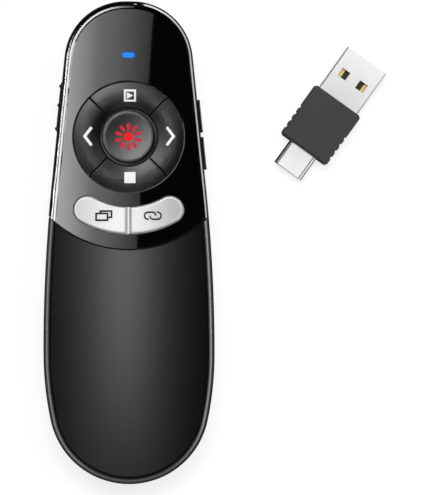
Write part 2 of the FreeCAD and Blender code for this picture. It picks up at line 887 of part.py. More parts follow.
def side_switch_front():
    """How far in from the side wall's outside a side switch's face lies."""
    return -(shell_wall + side_flange_gap + side_flange_thickness + side_nub_length + stem_gap + stem_out)


def side_switches():
    bodies = []
    front = side_switch_front()
    tall = (board_height - side_switch_tall - side_key_height, board_height - side_key_height)
    for y in (volume_up_y, volume_down_y):
        body = box((front - side_switch_depth, front), about(0, side_switch_length), tall)
        hole_end = front - stem_in - side_key_travel - stem_floor
        hole = rod_outwards(side_stem_radius + stem_clearance, (hole_end, 0))
        bodies.append(on_side(body.cut(hole), y))
    return Part.makeCompound(bodies)


def side_stem(y):
    front = side_switch_front()
    return on_side(rod_outwards(side_stem_radius, (front - stem_in, front + stem_out)), y)


def volume_key(y):
    back = -(shell_wall + side_flange_gap)
    cap = side_key_opening(side_key_length, side_key_tall, back, side_key_proud)
    cap = rounded_bar(cap, side_key_corner)
    cap = rounded(cap, side_key_edge, lambda edge: nearly(edge.BoundBox.XMin, side_key_proud))
    flange = side_key_opening(
        side_key_length + 2 * side_flange_end,
        side_key_tall + 2 * side_flange_width,
        back - side_flange_thickness,
        back,
    )
    nub = rod_outwards(side_nub_radius, (back - side_flange_thickness - side_nub_length, back))
    return on_side(cap.fuse([flange, nub]).removeSplitter(), y)


def power_slider():
    cap = side_key_opening(slider_length, side_key_tall, slider_lift, slider_proud)
    cap_depth = slider_proud - slider_lift
    cap = rounded(cap, side_key_corner, lambda edge: nearly(edge.BoundBox.XLength, cap_depth))
    cap = rounded(cap, side_key_edge, lambda edge: nearly(edge.BoundBox.XMin, slider_proud))
    rib_reach = (slider_lift, slider_proud + slider_rib_rise)
    ribs = []
    for place in (slider_rib_upper, slider_rib_middle, slider_rib_lower):
        ribs.append(box(rib_reach, about(place, slider_rib_width), about(0, slider_rib_tall)))
    back = -(shell_wall + side_flange_gap)
    neck = box((back, slider_proud / 2), about(0, neck_length), about(0, neck_tall))
    plate = box(
        (back - side_flange_thickness, back),
        about(0, neck_length + 2 * slider_plate_extra),
        about(0, slider_plate_tall),
    )
    notch_side = lever_side + 2 * lever_clearance
    notch_reach = (back - 2 * side_flange_thickness, back - lever_clearance)
    notch = box(notch_reach, about(0, notch_side), about(0, notch_side))
    whole = cap.fuse(ribs + [neck, plate]).cut(notch).removeSplitter()
    return mirrored(on_side(whole, slider_y))


def slide_switch_face():
    return -(shell_wall + side_flange_gap + side_flange_thickness + slide_switch_gap)


def slide_switch():
    front = slide_switch_face()
    tall = (board_height - slide_switch_tall - side_key_height, board_height - side_key_height)
    body = box((front - slide_switch_depth, front), about(-slider_travel / 2, slide_switch_length), tall)
    room = lever_side / 2 + lever_clearance
    slot = box(
        (front - lever_in - lever_clearance, front + overrun),
        (-room - slider_travel, room),
        about(0, lever_side + 2 * lever_clearance),
    )
    return mirrored(on_side(body.cut(slot), slider_y))


def slide_switch_lever():
    front = slide_switch_face()
    tip = front + slide_switch_gap + side_flange_thickness / 2
    lever = box((front - lever_in, tip), about(0, lever_side), about(0, lever_side))
    return mirrored(on_side(lever, slider_y))


def circuit_board():
    board = extruded(outline_edges(board_inset), board_height, board_top)
    area = box(about(0, handset_width), (board_tail, nose_y - board_nose_inset), (0, apex_height))
    holes = [disc(x, y, screw_radius + screw_head_gap, 0, apex_height) for x, y, seat, tip in screw_places()]
    return board.common(area).cut(holes)


def radio_chip():
    y = ring_y + chip_from_ring
    low = board_height - chip_height
    chip = box(about(-chip_left, chip_side), about(y, chip_side), (low, board_height))
    return bevelled(chip, switch_bevel, lambda edge: nearly(edge.BoundBox.ZMax, low))


def crystal():
    y = ring_y + chip_from_ring - chip_side / 2 - crystal_gap
    low = board_height - crystal_height
    can = box(about(-chip_left, crystal_length), about(y, crystal_width), (low, board_height))
    return rounded(can, switch_bevel, lambda edge: nearly(edge.BoundBox.ZLength, crystal_height))


def light_pipe():
    bottom = board_top + led_height + light_gap
    pipe = slot_prism(0, light_y, light_length, light_width, bottom, sky)
    return pipe.common(under_crown(0))


def led_chip():
    chip = box(about(0, led_length), about(light_y, led_width), (board_top, board_top + led_height))
    return bevelled(chip, led_bevel, lambda edge: nearly(edge.BoundBox.ZMin, board_top + led_height))


def laser_tip():
    """Where the laser's front face lies, behind the window."""
    return nose_y - shell_wall - window_lip_thickness - window_clearance


def laser_module():
    tip = laser_tip()
    barrel_front = tip - laser_nozzle_length
    barrel = rod(laser_radius, 0, (barrel_front - laser_length, barrel_front), laser_height)
    nozzle = rod(laser_nozzle_radius, 0, (barrel_front - laser_length, tip), laser_height)
    bore = rod(laser_bore_radius, 0, (tip - laser_bore_depth, tip + overrun), laser_height)
    barrel = bevelled(barrel, switch_bevel, lambda edge: nearly(edge.BoundBox.YLength, 0))
    return barrel.fuse(nozzle).cut(bore).removeSplitter()


def laser_window():
    back = nose_y - shell_wall - window_lip_thickness
    lip = rod(window_lip_radius, 0, (back, back + window_lip_thickness), laser_height)
    front = nose_y - window_recess
    glass = rod(window_radius, 0, (back, front), laser_height)
    glass = rounded(glass, window_round, lambda edge: nearly(edge.BoundBox.YMin, front))
    inside = outer_blank(shell_wall + window_clearance)
    return glass.fuse(lip.common(inside)).removeSplitter()


def screw(x, y, seat, tip):
    shank = disc(x, y, screw_radius, seat - screw_head_height / 2, tip)
    shank = bevelled(shank, screw_bevel, lambda edge: nearly(edge.BoundBox.ZMin, tip))
    head = disc(x, y, screw_head_radius, seat - screw_head_height, seat)
    head = rounded(head, screw_bevel, lambda edge: nearly(edge.BoundBox.ZMax, seat - screw_head_height))
    low = seat - screw_head_height
    slot_depth = (low, low + screw_slot_depth)
    slots = [
        box(about(x, screw_slot_length), about(y, screw_slot_width), slot_depth),
        box(about(x, screw_slot_width), about(y, screw_slot_length), slot_depth),
    ]
    return shank.fuse(head).removeSplitter().cut(slots)


def housing_screws():
    return Part.makeCompound([screw(*place) for place in screw_places()])


def battery():
    can_front = battery_back + battery_can_length
    can = rod(battery_radius, battery_x, (battery_back, can_front), battery_axis_height)
    can = rounded(can, battery_shoulder, lambda edge: nearly(edge.BoundBox.YLength, 0))
    nub = rod(battery_nub_radius, battery_x, (battery_back, battery_front), battery_axis_height)
    nub = rounded(nub, battery_shoulder, lambda edge: nearly(edge.BoundBox.YMin, battery_front))
    return can.fuse(nub).removeSplitter()


def contact_sheet(y_range):
    sheet = box(about(battery_x, contact_width), y_range, about(battery_axis_height, contact_tall))
    return rounded(sheet, side_key_corner, lambda edge: nearly(edge.BoundBox.YLength, contact_thickness))


def positive_contact():
    return contact_sheet((battery_front + contact_gap, battery_front + contact_gap + contact_thickness))


def negative_contact():
    return contact_sheet((spring_back - contact_gap - contact_thickness, spring_back - contact_gap))


def battery_spring():
    """A cone-shaped coil that presses the battery forwards."""
    pitch = spring_length / spring_turns
    slope = math.degrees(math.atan((spring_radius_wide - spring_radius_narrow) / spring_length))
    helix = Part.makeHelix(pitch, spring_length - spring_wire_radius, spring_radius_wide, -slope)
    start = Vector(spring_radius_wide, 0, 0)
    ring = Part.Wire(Part.makeCircle(spring_wire_radius, start, ahead))
    coil = Part.Wire(helix).makePipeShell([ring], True, True)
    coil.rotate(Vector(0, 0, 0), right, -90)
    coil.translate(Vector(battery_x, spring_back + spring_wire_radius, battery_axis_height))
    return coil


def battery_cover():
    cover_span = (tail_y - overrun, cover_front - cover_gap)
    zone = box(about(0, 2 * handset_width), cover_span, (-overrun, cover_top))
    shell = outer_blank(0).cut(outer_blank(cover_wall)).common(zone)
    post_in = bay_half_width + rail_out + hook_gap
    hooks = []
    lip_bottom = rail_bottom + rail_tall + hook_gap
    for side in (-1, 1):
        for step in range(2):
            y_high = hook_front - step * hook_pitch
            y_range = (y_high - hook_length, y_high)
            post = box((post_in, post_in + hook_wall), y_range, (cover_wall / 2, lip_bottom + hook_tall))
            lip_reach = (post_in - rail_out, post_in + hook_wall)
            lip = box(lip_reach, y_range, (lip_bottom, lip_bottom + hook_tall))
            hook = post.fuse(lip)
            hooks.append(hook if side > 0 else mirrored(hook))
    hooks = [hook.common(outer_blank(cover_wall / 2)) for hook in hooks]
    tongue_bottom = shell_wall + tongue_lift
    tongue = box(
        about(0, tongue_width),
        (cover_front - 2 * cover_wall, cover_front + tongue_length),
        (tongue_bottom, tongue_bottom + tongue_tall),
    )
    root = box(
        about(0, tongue_width),
        (cover_front - 2 * cover_wall, cover_front - cover_wall / 2),
        (cover_wall / 2, tongue_bottom + tongue_tall),
    )
    solid = shell.fuse(hooks + [tongue, root])
    middle = cover_front - thumb_from_front
    ball = (thumb_length ** 2 / 4 + thumb_depth ** 2) / (2 * thumb_depth)
    scoop = rod_outwards(ball, about(0, thumb_width))
    scoop.translate(Vector(0, middle, thumb_depth - ball))
    ribs = []
    pitch = thumb_rib_width + thumb_rib_gap
    for step in range(thumb_ribs):
        y = middle + (step - (thumb_ribs - 1) / 2) * pitch
        ribs.append(box(about(0, thumb_width), about(y, thumb_rib_width), (thumb_depth / 3, cover_wall)))
    return solid.cut(scoop).fuse(ribs).removeSplitter()


def on_receiver(shape):
    """Move a shape drawn about the receiver's middle, plug A towards +Y, to where it lies."""
    placed = shape.copy()
    placed.rotate(Vector(0, 0, 0), up, receiver_turn)
    placed.translate(Vector(receiver_x, receiver_y, 0))
    return placed


receiver_back = -receiver_total / 2 + usb_c_out
receiver_front = receiver_back + receiver_length
plug_height = receiver_tall / 2


def receiver_housing():
    block = box(about(0, receiver_width), (receiver_back, receiver_front), (0, receiver_tall))
    block = bevelled(block, receiver_chamfer, lambda edge: nearly(edge.BoundBox.YLength, receiver_length))
    block = bevelled(
        block,
        receiver_end_chamfer,
        lambda edge: nearly(edge.BoundBox.YMin, receiver_front) or nearly(edge.BoundBox.YMax, receiver_back),
    )
    cuts = []
    for side in (-1, 1):
        for step in range(receiver_groove_count):
            y = receiver_back + receiver_groove_start + step * receiver_groove_pitch
            x = side * receiver_width / 2
            reach = about(x, 2 * receiver_groove_depth)
            cuts.append(box(reach, (y, y + receiver_groove_width), (-overrun, receiver_tall + overrun)))
    recess = box(
        about(0, receiver_recess_width),
        (receiver_back - overrun, receiver_back + receiver_recess_depth),
        about(plug_height, receiver_recess_tall),
    )
    cuts.append(recess)
    inner = box(
        about(0, receiver_width - 2 * receiver_wall - 2 * receiver_groove_depth),
        (receiver_back + 2 * receiver_wall, receiver_front - 2 * receiver_wall),
        (receiver_wall, receiver_tall - receiver_wall),
    )
    cuts.append(inner)
    cuts.append(usb_a_bar(plug_clearance, receiver_front - usb_a_in, receiver_front + overrun))
    cuts.append(usb_c_bar(plug_clearance, receiver_back - overrun, receiver_back + usb_c_in))
    return on_receiver(block.cut(cuts))


def usb_a_bar(grow, back, front):
    bar = box(about(0, usb_a_width + 2 * grow), (back, front), about(plug_height, usb_a_tall + 2 * grow))
    return rounded(bar, usb_a_corner + grow, lambda edge: nearly(edge.BoundBox.YLength, front - back))


def usb_c_bar(grow, back, front):
    width = usb_c_width + 2 * grow
    tall = usb_c_tall + 2 * grow
    straight = width - tall
    middle = box(about(0, straight), (back, front), about(plug_height, tall))
    ends = []
    for side in (-1, 1):
        ends.append(rod(tall / 2, side * straight / 2, (back, front), plug_height))
    return joined([middle] + ends)


usb_a_tip = receiver_front + usb_a_out
usb_c_tip = receiver_back - usb_c_out
usb_a_floor = plug_height - usb_a_tall / 2 + usb_a_wall


def usb_a_shell():
    back = receiver_front - usb_a_in
    shell = usb_a_bar(0, back, usb_a_tip).cut(usb_a_bar(-usb_a_wall, back - overrun, usb_a_tip + overrun))
    cuts = []
    window_y = usb_a_tip - usb_a_window_from_tip - usb_a_window / 2
    for side in (-1, 1):
        x = side * usb_a_window_spacing / 2
        cuts.append(box(about(x, usb_a_window_wide), about(window_y, usb_a_window), (0, receiver_tall)))
        top = plug_height + usb_a_tall / 2
        dimple = Vector(x, usb_a_tip - usb_a_dimple_from_tip, top - usb_a_dimple_depth)
        cuts.append(Part.makeCylinder(usb_a_dimple_radius, overrun, dimple, up))
    return on_receiver(shell.cut(cuts))


def usb_a_tongue():
    width = usb_a_width - 2 * usb_a_wall - 2 * usb_a_side_gap
    tongue = box(
        about(0, width),
        (receiver_front - usb_a_in, usb_a_tip - usb_a_tongue_setback),
        (usb_a_floor, usb_a_floor + usb_a_tongue_tall),
    )
    tongue = bevelled(tongue, usb_a_corner, lambda edge: nearly(edge.BoundBox.ZMax, usb_a_floor))
    return on_receiver(tongue)


def usb_a_contacts():
    strips = []
    top = usb_a_floor + usb_a_tongue_tall
    front = usb_a_tip - usb_a_tongue_setback - usb_a_contact_setback
    for side in (-1, 1):
        for place in (usb_a_contact_inner_place, usb_a_contact_outer_place):
            strip = box(
                about(side * place, usb_a_contact_width),
                (front - usb_a_contact_length, front),
                (top, top + usb_a_contact_tall),
            )
            strips.append(on_receiver(strip))
    return Part.makeCompound(strips)


def usb_c_shell():
    front = receiver_back + usb_c_in
    shell = usb_c_bar(0, usb_c_tip, front).cut(usb_c_bar(-usb_c_wall, usb_c_tip - overrun, front + overrun))

    def is_outer_rim(edge):
        bound = edge.BoundBox
        reach = max(abs(bound.ZMax - plug_height), abs(bound.ZMin - plug_height))
        return nearly(bound.YMax, usb_c_tip) and reach > (usb_c_tall - usb_c_wall) / 2

    return on_receiver(rounded(shell, usb_c_wall / 2, is_outer_rim))


def usb_c_liner():
    front = receiver_back + usb_c_in
    liner = usb_c_bar(-usb_c_wall, usb_c_tip + usb_c_liner_setback, front)
    mouth = box(
        about(0, usb_c_liner_width),
        (usb_c_tip - overrun, usb_c_tip + usb_c_liner_setback + usb_c_liner_floor),
        about(plug_height, usb_c_liner_tall),
    )
    return on_receiver(liner.cut(mouth))


def usb_c_contacts():
    strips = []
    front = usb_c_tip + usb_c_liner_setback + usb_c_contact_setback
    for step in range(usb_c_contact_count):
        x = (step - (usb_c_contact_count - 1) / 2) * usb_c_contact_pitch
        for side in (-1, 1):
            z = plug_height + side * (usb_c_liner_tall - usb_c_contact_tall) / 2
            span = (front, front + usb_c_contact_length)
            strip = box(about(x, usb_c_contact_width), span, about(z, usb_c_contact_tall))
            strips.append(on_receiver(strip))
    return Part.makeCompound(strips)


def receiver_board():
    board = box(
        about(0, receiver_board_width),
        (receiver_back + usb_c_in + receiver_board_gap, receiver_front - usb_a_in - receiver_board_gap),
        about(plug_height, receiver_board_thickness),
    )
    return on_receiver(board)


def receiver_chip():
    middle = (receiver_back + usb_c_in + receiver_front - usb_a_in) / 2
    low = plug_height + receiver_board_thickness / 2
    span = about(middle, receiver_chip_side)
    return on_receiver(box(about(0, receiver_chip_side), span, (low, low + receiver_chip_height)))


ring_names = ["play", "previous", "stop", "next"]

nodes = {
    "rear_housing": rear_housing,
    "front_housing": front_housing,
    "faceplate": faceplate,
    "grip_cover": grip_cover,
    "battery_cover": battery_cover,
    "laser_key": laser_key,
    "laser_key_stem": lambda: stem(0, ring_y),
    "key_divider": key_divider,
    "window_key": lambda: band_key(-1),
    "window_key_stem": lambda: stem(*band_nub_place(-1)),
    "link_key": lambda: band_key(1),
    "link_key_stem": lambda: stem(*band_nub_place(1)),
    "volume_up_key": lambda: volume_key(volume_up_y),
    "volume_up_stem": lambda: side_stem(volume_up_y),
    "volume_down_key": lambda: volume_key(volume_down_y),
    "volume_down_stem": lambda: side_stem(volume_down_y),
    "power_slider": power_slider,
    "slide_switch_lever": slide_switch_lever,
    "slide_switch_body": slide_switch,
    "face_switch_bodies": face_switches,
    "side_switch_bodies": side_switches,
    "circuit_board": circuit_board,
    "radio_chip": radio_chip,
    "crystal": crystal,
    "light_pipe": light_pipe,
    "led_chip": led_chip,
    "laser_module": laser_module,
    "laser_window": laser_window,
    "housing_screws": housing_screws,
    "battery": battery,
    "positive_contact": positive_contact,
    "negative_contact": negative_contact,
    "battery_spring": battery_spring,
    "receiver_housing": receiver_housing,
    "receiver_usb_a_shell": usb_a_shell,
    "receiver_usb_a_tongue": usb_a_tongue,
    "receiver_usb_a_contacts": usb_a_contacts,
    "receiver_usb_c_shell": usb_c_shell,
    "receiver_usb_c_liner": usb_c_liner,
    "receiver_usb_c_contacts": usb_c_contacts,
    "receiver_board": receiver_board,
    "receiver_chip": receiver_chip,
}
for quarter, name in enumerate(ring_names):
    nodes[name + "_key"] = lambda quarter=quarter: ring_key(quarter)
    nodes[name + "_key_stem"] = lambda quarter=quarter: stem(*ring_nub_place(quarter))

os.makedirs("parts", exist_ok=True)
for name, make in nodes.items():
    shape = make()
    shape.exportStep("parts/" + name + ".step")
    print(name, len(shape.Solids), shape.isValid(), round(shape.Volume, 2))
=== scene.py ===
import json
import math
import bmesh
import bpy
from mathutils import Matrix, Vector


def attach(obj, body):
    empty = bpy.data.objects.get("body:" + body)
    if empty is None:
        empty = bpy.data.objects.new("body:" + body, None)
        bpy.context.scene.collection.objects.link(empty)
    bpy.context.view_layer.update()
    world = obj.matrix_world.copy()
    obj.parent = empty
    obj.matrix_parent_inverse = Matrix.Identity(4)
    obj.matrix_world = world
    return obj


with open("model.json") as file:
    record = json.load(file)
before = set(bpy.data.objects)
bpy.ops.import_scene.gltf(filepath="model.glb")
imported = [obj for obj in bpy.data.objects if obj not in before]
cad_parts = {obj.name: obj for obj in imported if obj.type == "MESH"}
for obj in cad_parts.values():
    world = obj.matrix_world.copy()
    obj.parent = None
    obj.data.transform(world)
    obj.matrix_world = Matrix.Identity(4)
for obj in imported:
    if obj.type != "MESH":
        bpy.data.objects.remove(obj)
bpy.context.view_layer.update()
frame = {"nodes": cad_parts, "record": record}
nodes = frame["nodes"]
mm = 0.001
print("frame loaded:", len(nodes), "nodes")


class Signal:  # a node socket that does its own maths
    def __init__(self, finish, socket):
        self.finish = finish
        self.socket = socket

    def maths(self, operation, *others):
        terms = dict(enumerate((self,) + others))
        return self.finish.add("ShaderNodeMath", {"operation": operation}, terms)

    def beside(self, name):  # another output of the same node
        return Signal(self.finish, self.socket.node.outputs[name])

    def __add__(self, other):
        return self.maths("ADD", other)

    def __mul__(self, other):
        return self.maths("MULTIPLY", other)

    __radd__ = __add__
    __rmul__ = __mul__


class Finish:  # one material, built node by node
    def __init__(self, name):
        self.material = bpy.data.materials.new(name)
        self.material.use_nodes = True
        self.tree = self.material.node_tree
        self.tree.nodes.clear()

    def add(self, kind, settings=None, inputs=None, output=0):
        made = self.tree.nodes.new(kind)
        for key, value in (settings or {}).items():
            if key == "stops":
                ramp = made.color_ramp
                while len(ramp.elements) < len(value):
                    ramp.elements.new(0.5)
                for stop, (place, colour) in zip(ramp.elements, value):
                    stop.position = place
                    stop.color = colour
            else:
                setattr(made, key, value)
        for key, value in (inputs or {}).items():
            if isinstance(value, Signal):
                self.tree.links.new(value.socket, made.inputs[key])
            else:
                made.inputs[key].default_value = value
        return Signal(self, made.outputs[output]) if made.outputs else None

    def own(self):  # the piece's own Object coordinates, in metres
        return self.add("ShaderNodeTexCoord", output=3)

    def place(self, scale=(1, 1, 1), turn=(0, 0, 0)):
        return self.add("ShaderNodeMapping", {}, {"Vector": self.own(), "Scale": scale, "Rotation": turn})

    def vector(self, operation, *terms, output=0):
        return self.add("ShaderNodeVectorMath", {"operation": operation}, dict(enumerate(terms)), output)

    def distance(self, point):
        return self.vector("DISTANCE", self.own(), point, output=1)

    def length(self, vector):
        return self.vector("LENGTH", vector, output=1)

    def noise(self, where, scale, detail=3.0, roughness=0.55):
        return self.add("ShaderNodeTexNoise", {}, {
            "Vector": where, "Scale": scale, "Detail": detail, "Roughness": roughness})

    def spread(self, value, low, high):  # from 0..1 to low..high
        return self.add("ShaderNodeMapRange", {}, {"Value": value, "To Min": low, "To Max": high})

    def fade(self, value, low, high):  # from low..high to 0..1
        return self.add("ShaderNodeMapRange", {}, {"Value": value, "From Min": low, "From Max": high})

    def tint(self, mask, dark, light):
        return self.add("ShaderNodeMix", {"data_type": "RGBA"}, {
            "Factor": mask, 6: dark, 7: light}, output=2)

    def bump(self, height, strength, distance):
        return self.add("ShaderNodeBump", {}, {
            "Height": height, "Strength": strength, "Distance": distance})

    def shade(self, sockets):
        return self.close(self.add("ShaderNodeBsdfPrincipled", {}, sockets))

    def close(self, shader):
        self.add("ShaderNodeOutputMaterial", {}, {"Surface": shader})
        return self.material


def grey(level):
    return (level, level, level, 1)


# Each moulded finish: colours, sheen, grain in cells to the metre, and how deep the grain is in millimetres
mouldings = {
    "rear_black": {
        "dark": grey(0.020), "light": grey(0.028), "rough": (0.34, 0.42), "grain": 5200, "depth": 0.012},
    "rim_black": {
        "dark": grey(0.0008), "light": grey(0.0014), "rough": (0.06, 0.09), "grain": 900, "depth": 0.0},
    "face_gloss": {
        "dark": grey(0.0006), "light": grey(0.0010), "rough": (0.025, 0.05), "grain": 60, "depth": 0.0},
    "grip_matte": {
        "dark": grey(0.0015), "light": grey(0.0025), "rough": (0.19, 0.23), "grain": 6500, "depth": 0.006},
    "key_black": {
        "dark": grey(0.0020), "light": grey(0.0032), "rough": (0.18, 0.23), "grain": 5200, "depth": 0.003},
    "side_black": {
        "dark": grey(0.003), "light": grey(0.005), "rough": (0.18, 0.24), "grain": 4200, "depth": 0.003},
    "switch_black": {
        "dark": grey(0.020), "light": grey(0.035), "rough": (0.40, 0.50), "grain": 3000, "depth": 0.006},
    "stem_white": {
        "dark": (0.60, 0.59, 0.55, 1), "light": (0.72, 0.71, 0.67, 1), "rough": (0.35, 0.45),
        "grain": 2400, "depth": 0.003},
    "chip_black": {
        "dark": grey(0.015), "light": grey(0.028), "rough": (0.45, 0.60), "grain": 9000, "depth": 0.006},
    "receiver_black": {
        "dark": (0.044, 0.046, 0.048, 1), "light": (0.053, 0.055, 0.058, 1), "rough": (0.42, 0.50),
        "grain": 5200, "depth": 0.010},
    "tongue_black": {
        "dark": grey(0.012), "light": grey(0.020), "rough": (0.35, 0.45), "grain": 3000, "depth": 0.003},
}
plasticGrain = {
    "detail": 2.0, "roughness": 0.6, "relief": 0.5, "ior": 1.5,
    "cloudSize": 40, "cloudDetail": 4.0, "cloudShare": 0.6,
}


def mouldedPlastic(name, look):
    finish = Finish(name)
    where = finish.place()
    cloud = finish.noise(where, look["grain"] / plasticGrain["cloudSize"], plasticGrain["cloudDetail"])
    grain = finish.noise(where, look["grain"], plasticGrain["detail"], plasticGrain["roughness"])
    share = plasticGrain["cloudShare"]
    shader = {
        "Base Color": finish.tint(cloud, look["dark"], look["light"]),
        "Roughness": finish.spread(cloud * share + grain * (1 - share), *look["rough"]),
        "IOR": plasticGrain["ior"],
    }
    if look["depth"]:
        shader["Normal"] = finish.bump(grain, plasticGrain["relief"], look["depth"] * mm)
    return finish.shade(shader)


# Each bare or plated metal: colours, sheen, how its grain is drawn out along x, y and z, and how deep it is
# in millimetres. The plugs lie turned, and have a painted sheen: their colour is lighter towards their tips,
# by the distance from the middle.
metals = {
    "can_steel": {
        "dark": (0.52, 0.52, 0.53, 1), "light": (0.68, 0.68, 0.68, 1), "rough": (0.25, 0.40),
        "draw": (500, 4000, 4000), "depth": 0.002},
    "laser_brass": {
        "dark": (0.62, 0.44, 0.18, 1), "light": (0.80, 0.62, 0.30, 1), "rough": (0.22, 0.34),
        "draw": (500, 9000, 500), "depth": 0.003},
    "screw_steel": {
        "dark": (0.34, 0.34, 0.36, 1), "light": (0.55, 0.55, 0.57, 1), "rough": (0.28, 0.42),
        "draw": (2500, 2500, 6000), "depth": 0.003},
    "plug_steel": {
        "dark": (0.62, 0.62, 0.63, 1), "light": (0.86, 0.86, 0.86, 1), "rough": (0.20, 0.28),
        "draw": (5200, 700, 5200), "depth": 0.0012, "turn": 35.7,
        "tipSheen": {"middle": (0.0497, 0.0323, 0.0032), "span": (0.005, 0.017), "share": 0.8}},
    "contact_gold": {
        "dark": (0.66, 0.45, 0.14, 1), "light": (0.90, 0.70, 0.32, 1), "rough": (0.22, 0.36),
        "draw": (2500, 2500, 2500), "depth": 0.001},
}
metalGrain = {"cloud": 180, "cloudShare": 0.5, "relief": 0.4}


def drawnMetal(name, look):
    finish = Finish(name)
    streak = finish.noise(finish.place(look["draw"], (0, 0, math.radians(look.get("turn", 0)))), 1.0)
    cloud = finish.noise(finish.place(), metalGrain["cloud"])
    mask = cloud
    # painted sheen: the plug colour turns lighter towards the tips
    if "tipSheen" in look:
        tipSheen = look["tipSheen"]
        away = finish.fade(finish.distance(tipSheen["middle"]), *tipSheen["span"])
        mask = away * tipSheen["share"] + cloud * (1 - tipSheen["share"])
    share = metalGrain["cloudShare"]
    return finish.shade({
        "Base Color": finish.tint(mask, look["dark"], look["light"]),
        "Metallic": 1.0,
        "Roughness": finish.spread(streak * (1 - share) + cloud * share, *look["rough"]),
        "Normal": finish.bump(streak, metalGrain["relief"], look["depth"] * mm),
    })


silverPaint = {
    "dark": (0.62, 0.62, 0.63, 1), "light": (0.72, 0.72, 0.73, 1), "metallic": 0.35, "rough": (0.16, 0.22),
    "flake": (9000, 1.0, 0.8), "cloud": 120, "cloudShare": 0.5,  # flake: scale, detail, roughness
    "relief": 0.25, "depth": 0.003, "coat": 0.1, "coatRough": 0.12,
}
# Painted shade: the divider's colour turns darker in the grooves beside its rib
dividerGrooveShade = {"rib": 0.2, "colour": (0.30, 0.30, 0.31, 1)}


def silverLacquer(name, groove=None):
    finish = Finish(name)
    where = finish.place()
    flake = finish.noise(where, *silverPaint["flake"])
    cloud = finish.noise(where, silverPaint["cloud"])
    share = silverPaint["cloudShare"]
    colour = finish.tint(flake * (1 - share) + cloud * share, silverPaint["dark"], silverPaint["light"])
    if groove:  # painted shade, a darker colour beside the rib of the divider
        side = finish.add("ShaderNodeSeparateXYZ", {}, {"Vector": finish.own()})
        grooveShade = side.maths("ABSOLUTE").maths("GREATER_THAN", groove["rib"] * mm)
        colour = finish.tint(grooveShade, colour, groove["colour"])
    return finish.shade({
        "Base Color": colour,
        "Metallic": silverPaint["metallic"],
        "Roughness": finish.spread(flake, *silverPaint["rough"]),
        "Normal": finish.bump(flake, silverPaint["relief"], silverPaint["depth"] * mm),
        "Coat Weight": silverPaint["coat"],
        "Coat Roughness": silverPaint["coatRough"],
    })


lightLook = {
    "centre": (0, 46.6, 22.0), "halfLength": 1.7, "halfWidth": 0.75, "coreReach": 0.72, "strength": 0.95,
    "core": (0.004, 0.215, 0.86, 1), "edge": (0.0, 0.05, 0.36, 1), "body": (0.01, 0.06, 0.2, 1),
    "rough": 0.18,
}


def lightPipeGlow(name):
    finish = Finish(name)
    shift = [-value * mm for value in lightLook["centre"]]
    size = (1 / (lightLook["halfLength"] * mm), 1 / (lightLook["halfWidth"] * mm), 0)
    reach = finish.length(finish.vector("MULTIPLY", finish.vector("ADD", finish.own(), shift), size))
    core, edge = lightLook["core"], lightLook["edge"]
    stops = [(0.0, core), (lightLook["coreReach"], core), (1.0, edge)]
    fall = finish.add("ShaderNodeValToRGB", {"stops": stops}, {"Fac": reach})
    return finish.shade({
        "Base Color": lightLook["body"],
        "Roughness": lightLook["rough"],
        "Emission Color": fall,
        "Emission Strength": lightLook["strength"],
    })


windowLook = {
    "dark": (0.10, 0.004, 0.006, 1), "light": (0.13, 0.006, 0.009, 1), "rough": (0.04, 0.08),
    "speck": 900, "detail": 2.0, "clear": 0.55, "ior": 1.49,
}


def darkWindow(name):
    finish = Finish(name)
    speck = finish.noise(finish.place(), windowLook["speck"], windowLook["detail"])
    return finish.shade({
        "Base Color": finish.tint(speck, windowLook["dark"], windowLook["light"]),
        "Roughness": finish.spread(speck, *windowLook["rough"]),
        "Transmission Weight": windowLook["clear"],
        "IOR": windowLook["ior"],
    })


boardLook = {
    "mask": (0.012, 0.10, 0.045, 1), "track": (0.030, 0.19, 0.085, 1), "rough": (0.28, 0.40),
    "pitch": 420, "straying": 0.6, "trackHalf": (0.22, 0.26),
    "weave": 2600, "detail": 2.0, "relief": 0.3, "depth": 0.004,
}


def solderMask(name):
    finish = Finish(name)
    where = finish.place()
    weave = finish.noise(where, boardLook["weave"], boardLook["detail"])
    cells = finish.add("ShaderNodeTexVoronoi", {"distance": "MANHATTAN", "feature": "F1"}, {
        "Vector": where, "Scale": boardLook["pitch"], "Randomness": boardLook["straying"]})
    inside, outside = boardLook["trackHalf"]
    stops = [(0.0, grey(1)), (inside, grey(1)), (outside, grey(0)), (1.0, grey(0))]
    tracks = finish.add("ShaderNodeValToRGB", {"stops": stops}, {"Fac": cells})
    return finish.shade({
        "Base Color": finish.tint(tracks, boardLook["mask"], boardLook["track"]),
        "Roughness": finish.spread(weave, *boardLook["rough"]),
        "Normal": finish.bump(weave, boardLook["relief"], boardLook["depth"] * mm),
    })


batteryLook = {
    "sleeve": (0.030, 0.032, 0.036, 1), "band": (0.55, 0.36, 0.16, 1), "steel": (0.62, 0.62, 0.62, 1),
    "rear": -46.9, "bandEnd": -16.0, "front": -4.4, "scuff": (400, 4000, 400), "rough": (0.22, 0.36),
}


def batterySleeve(name):  # dark sleeve, a plain copper band at the front, bare steel ends
    finish = Finish(name)
    along = finish.add("ShaderNodeSeparateXYZ", {}, {"Vector": finish.own()}, output=1)
    band = along.maths("GREATER_THAN", batteryLook["bandEnd"] * mm)
    front = along.maths("GREATER_THAN", batteryLook["front"] * mm)
    ends = front + along.maths("LESS_THAN", batteryLook["rear"] * mm)
    scuff = finish.noise(finish.place(batteryLook["scuff"]), 1.0)
    colour = finish.tint(band, batteryLook["sleeve"], batteryLook["band"])
    return finish.shade({
        "Base Color": finish.tint(ends, colour, batteryLook["steel"]),
        "Metallic": band.maths("MAXIMUM", ends),
        "Roughness": finish.spread(scuff, *batteryLook["rough"]),
    })


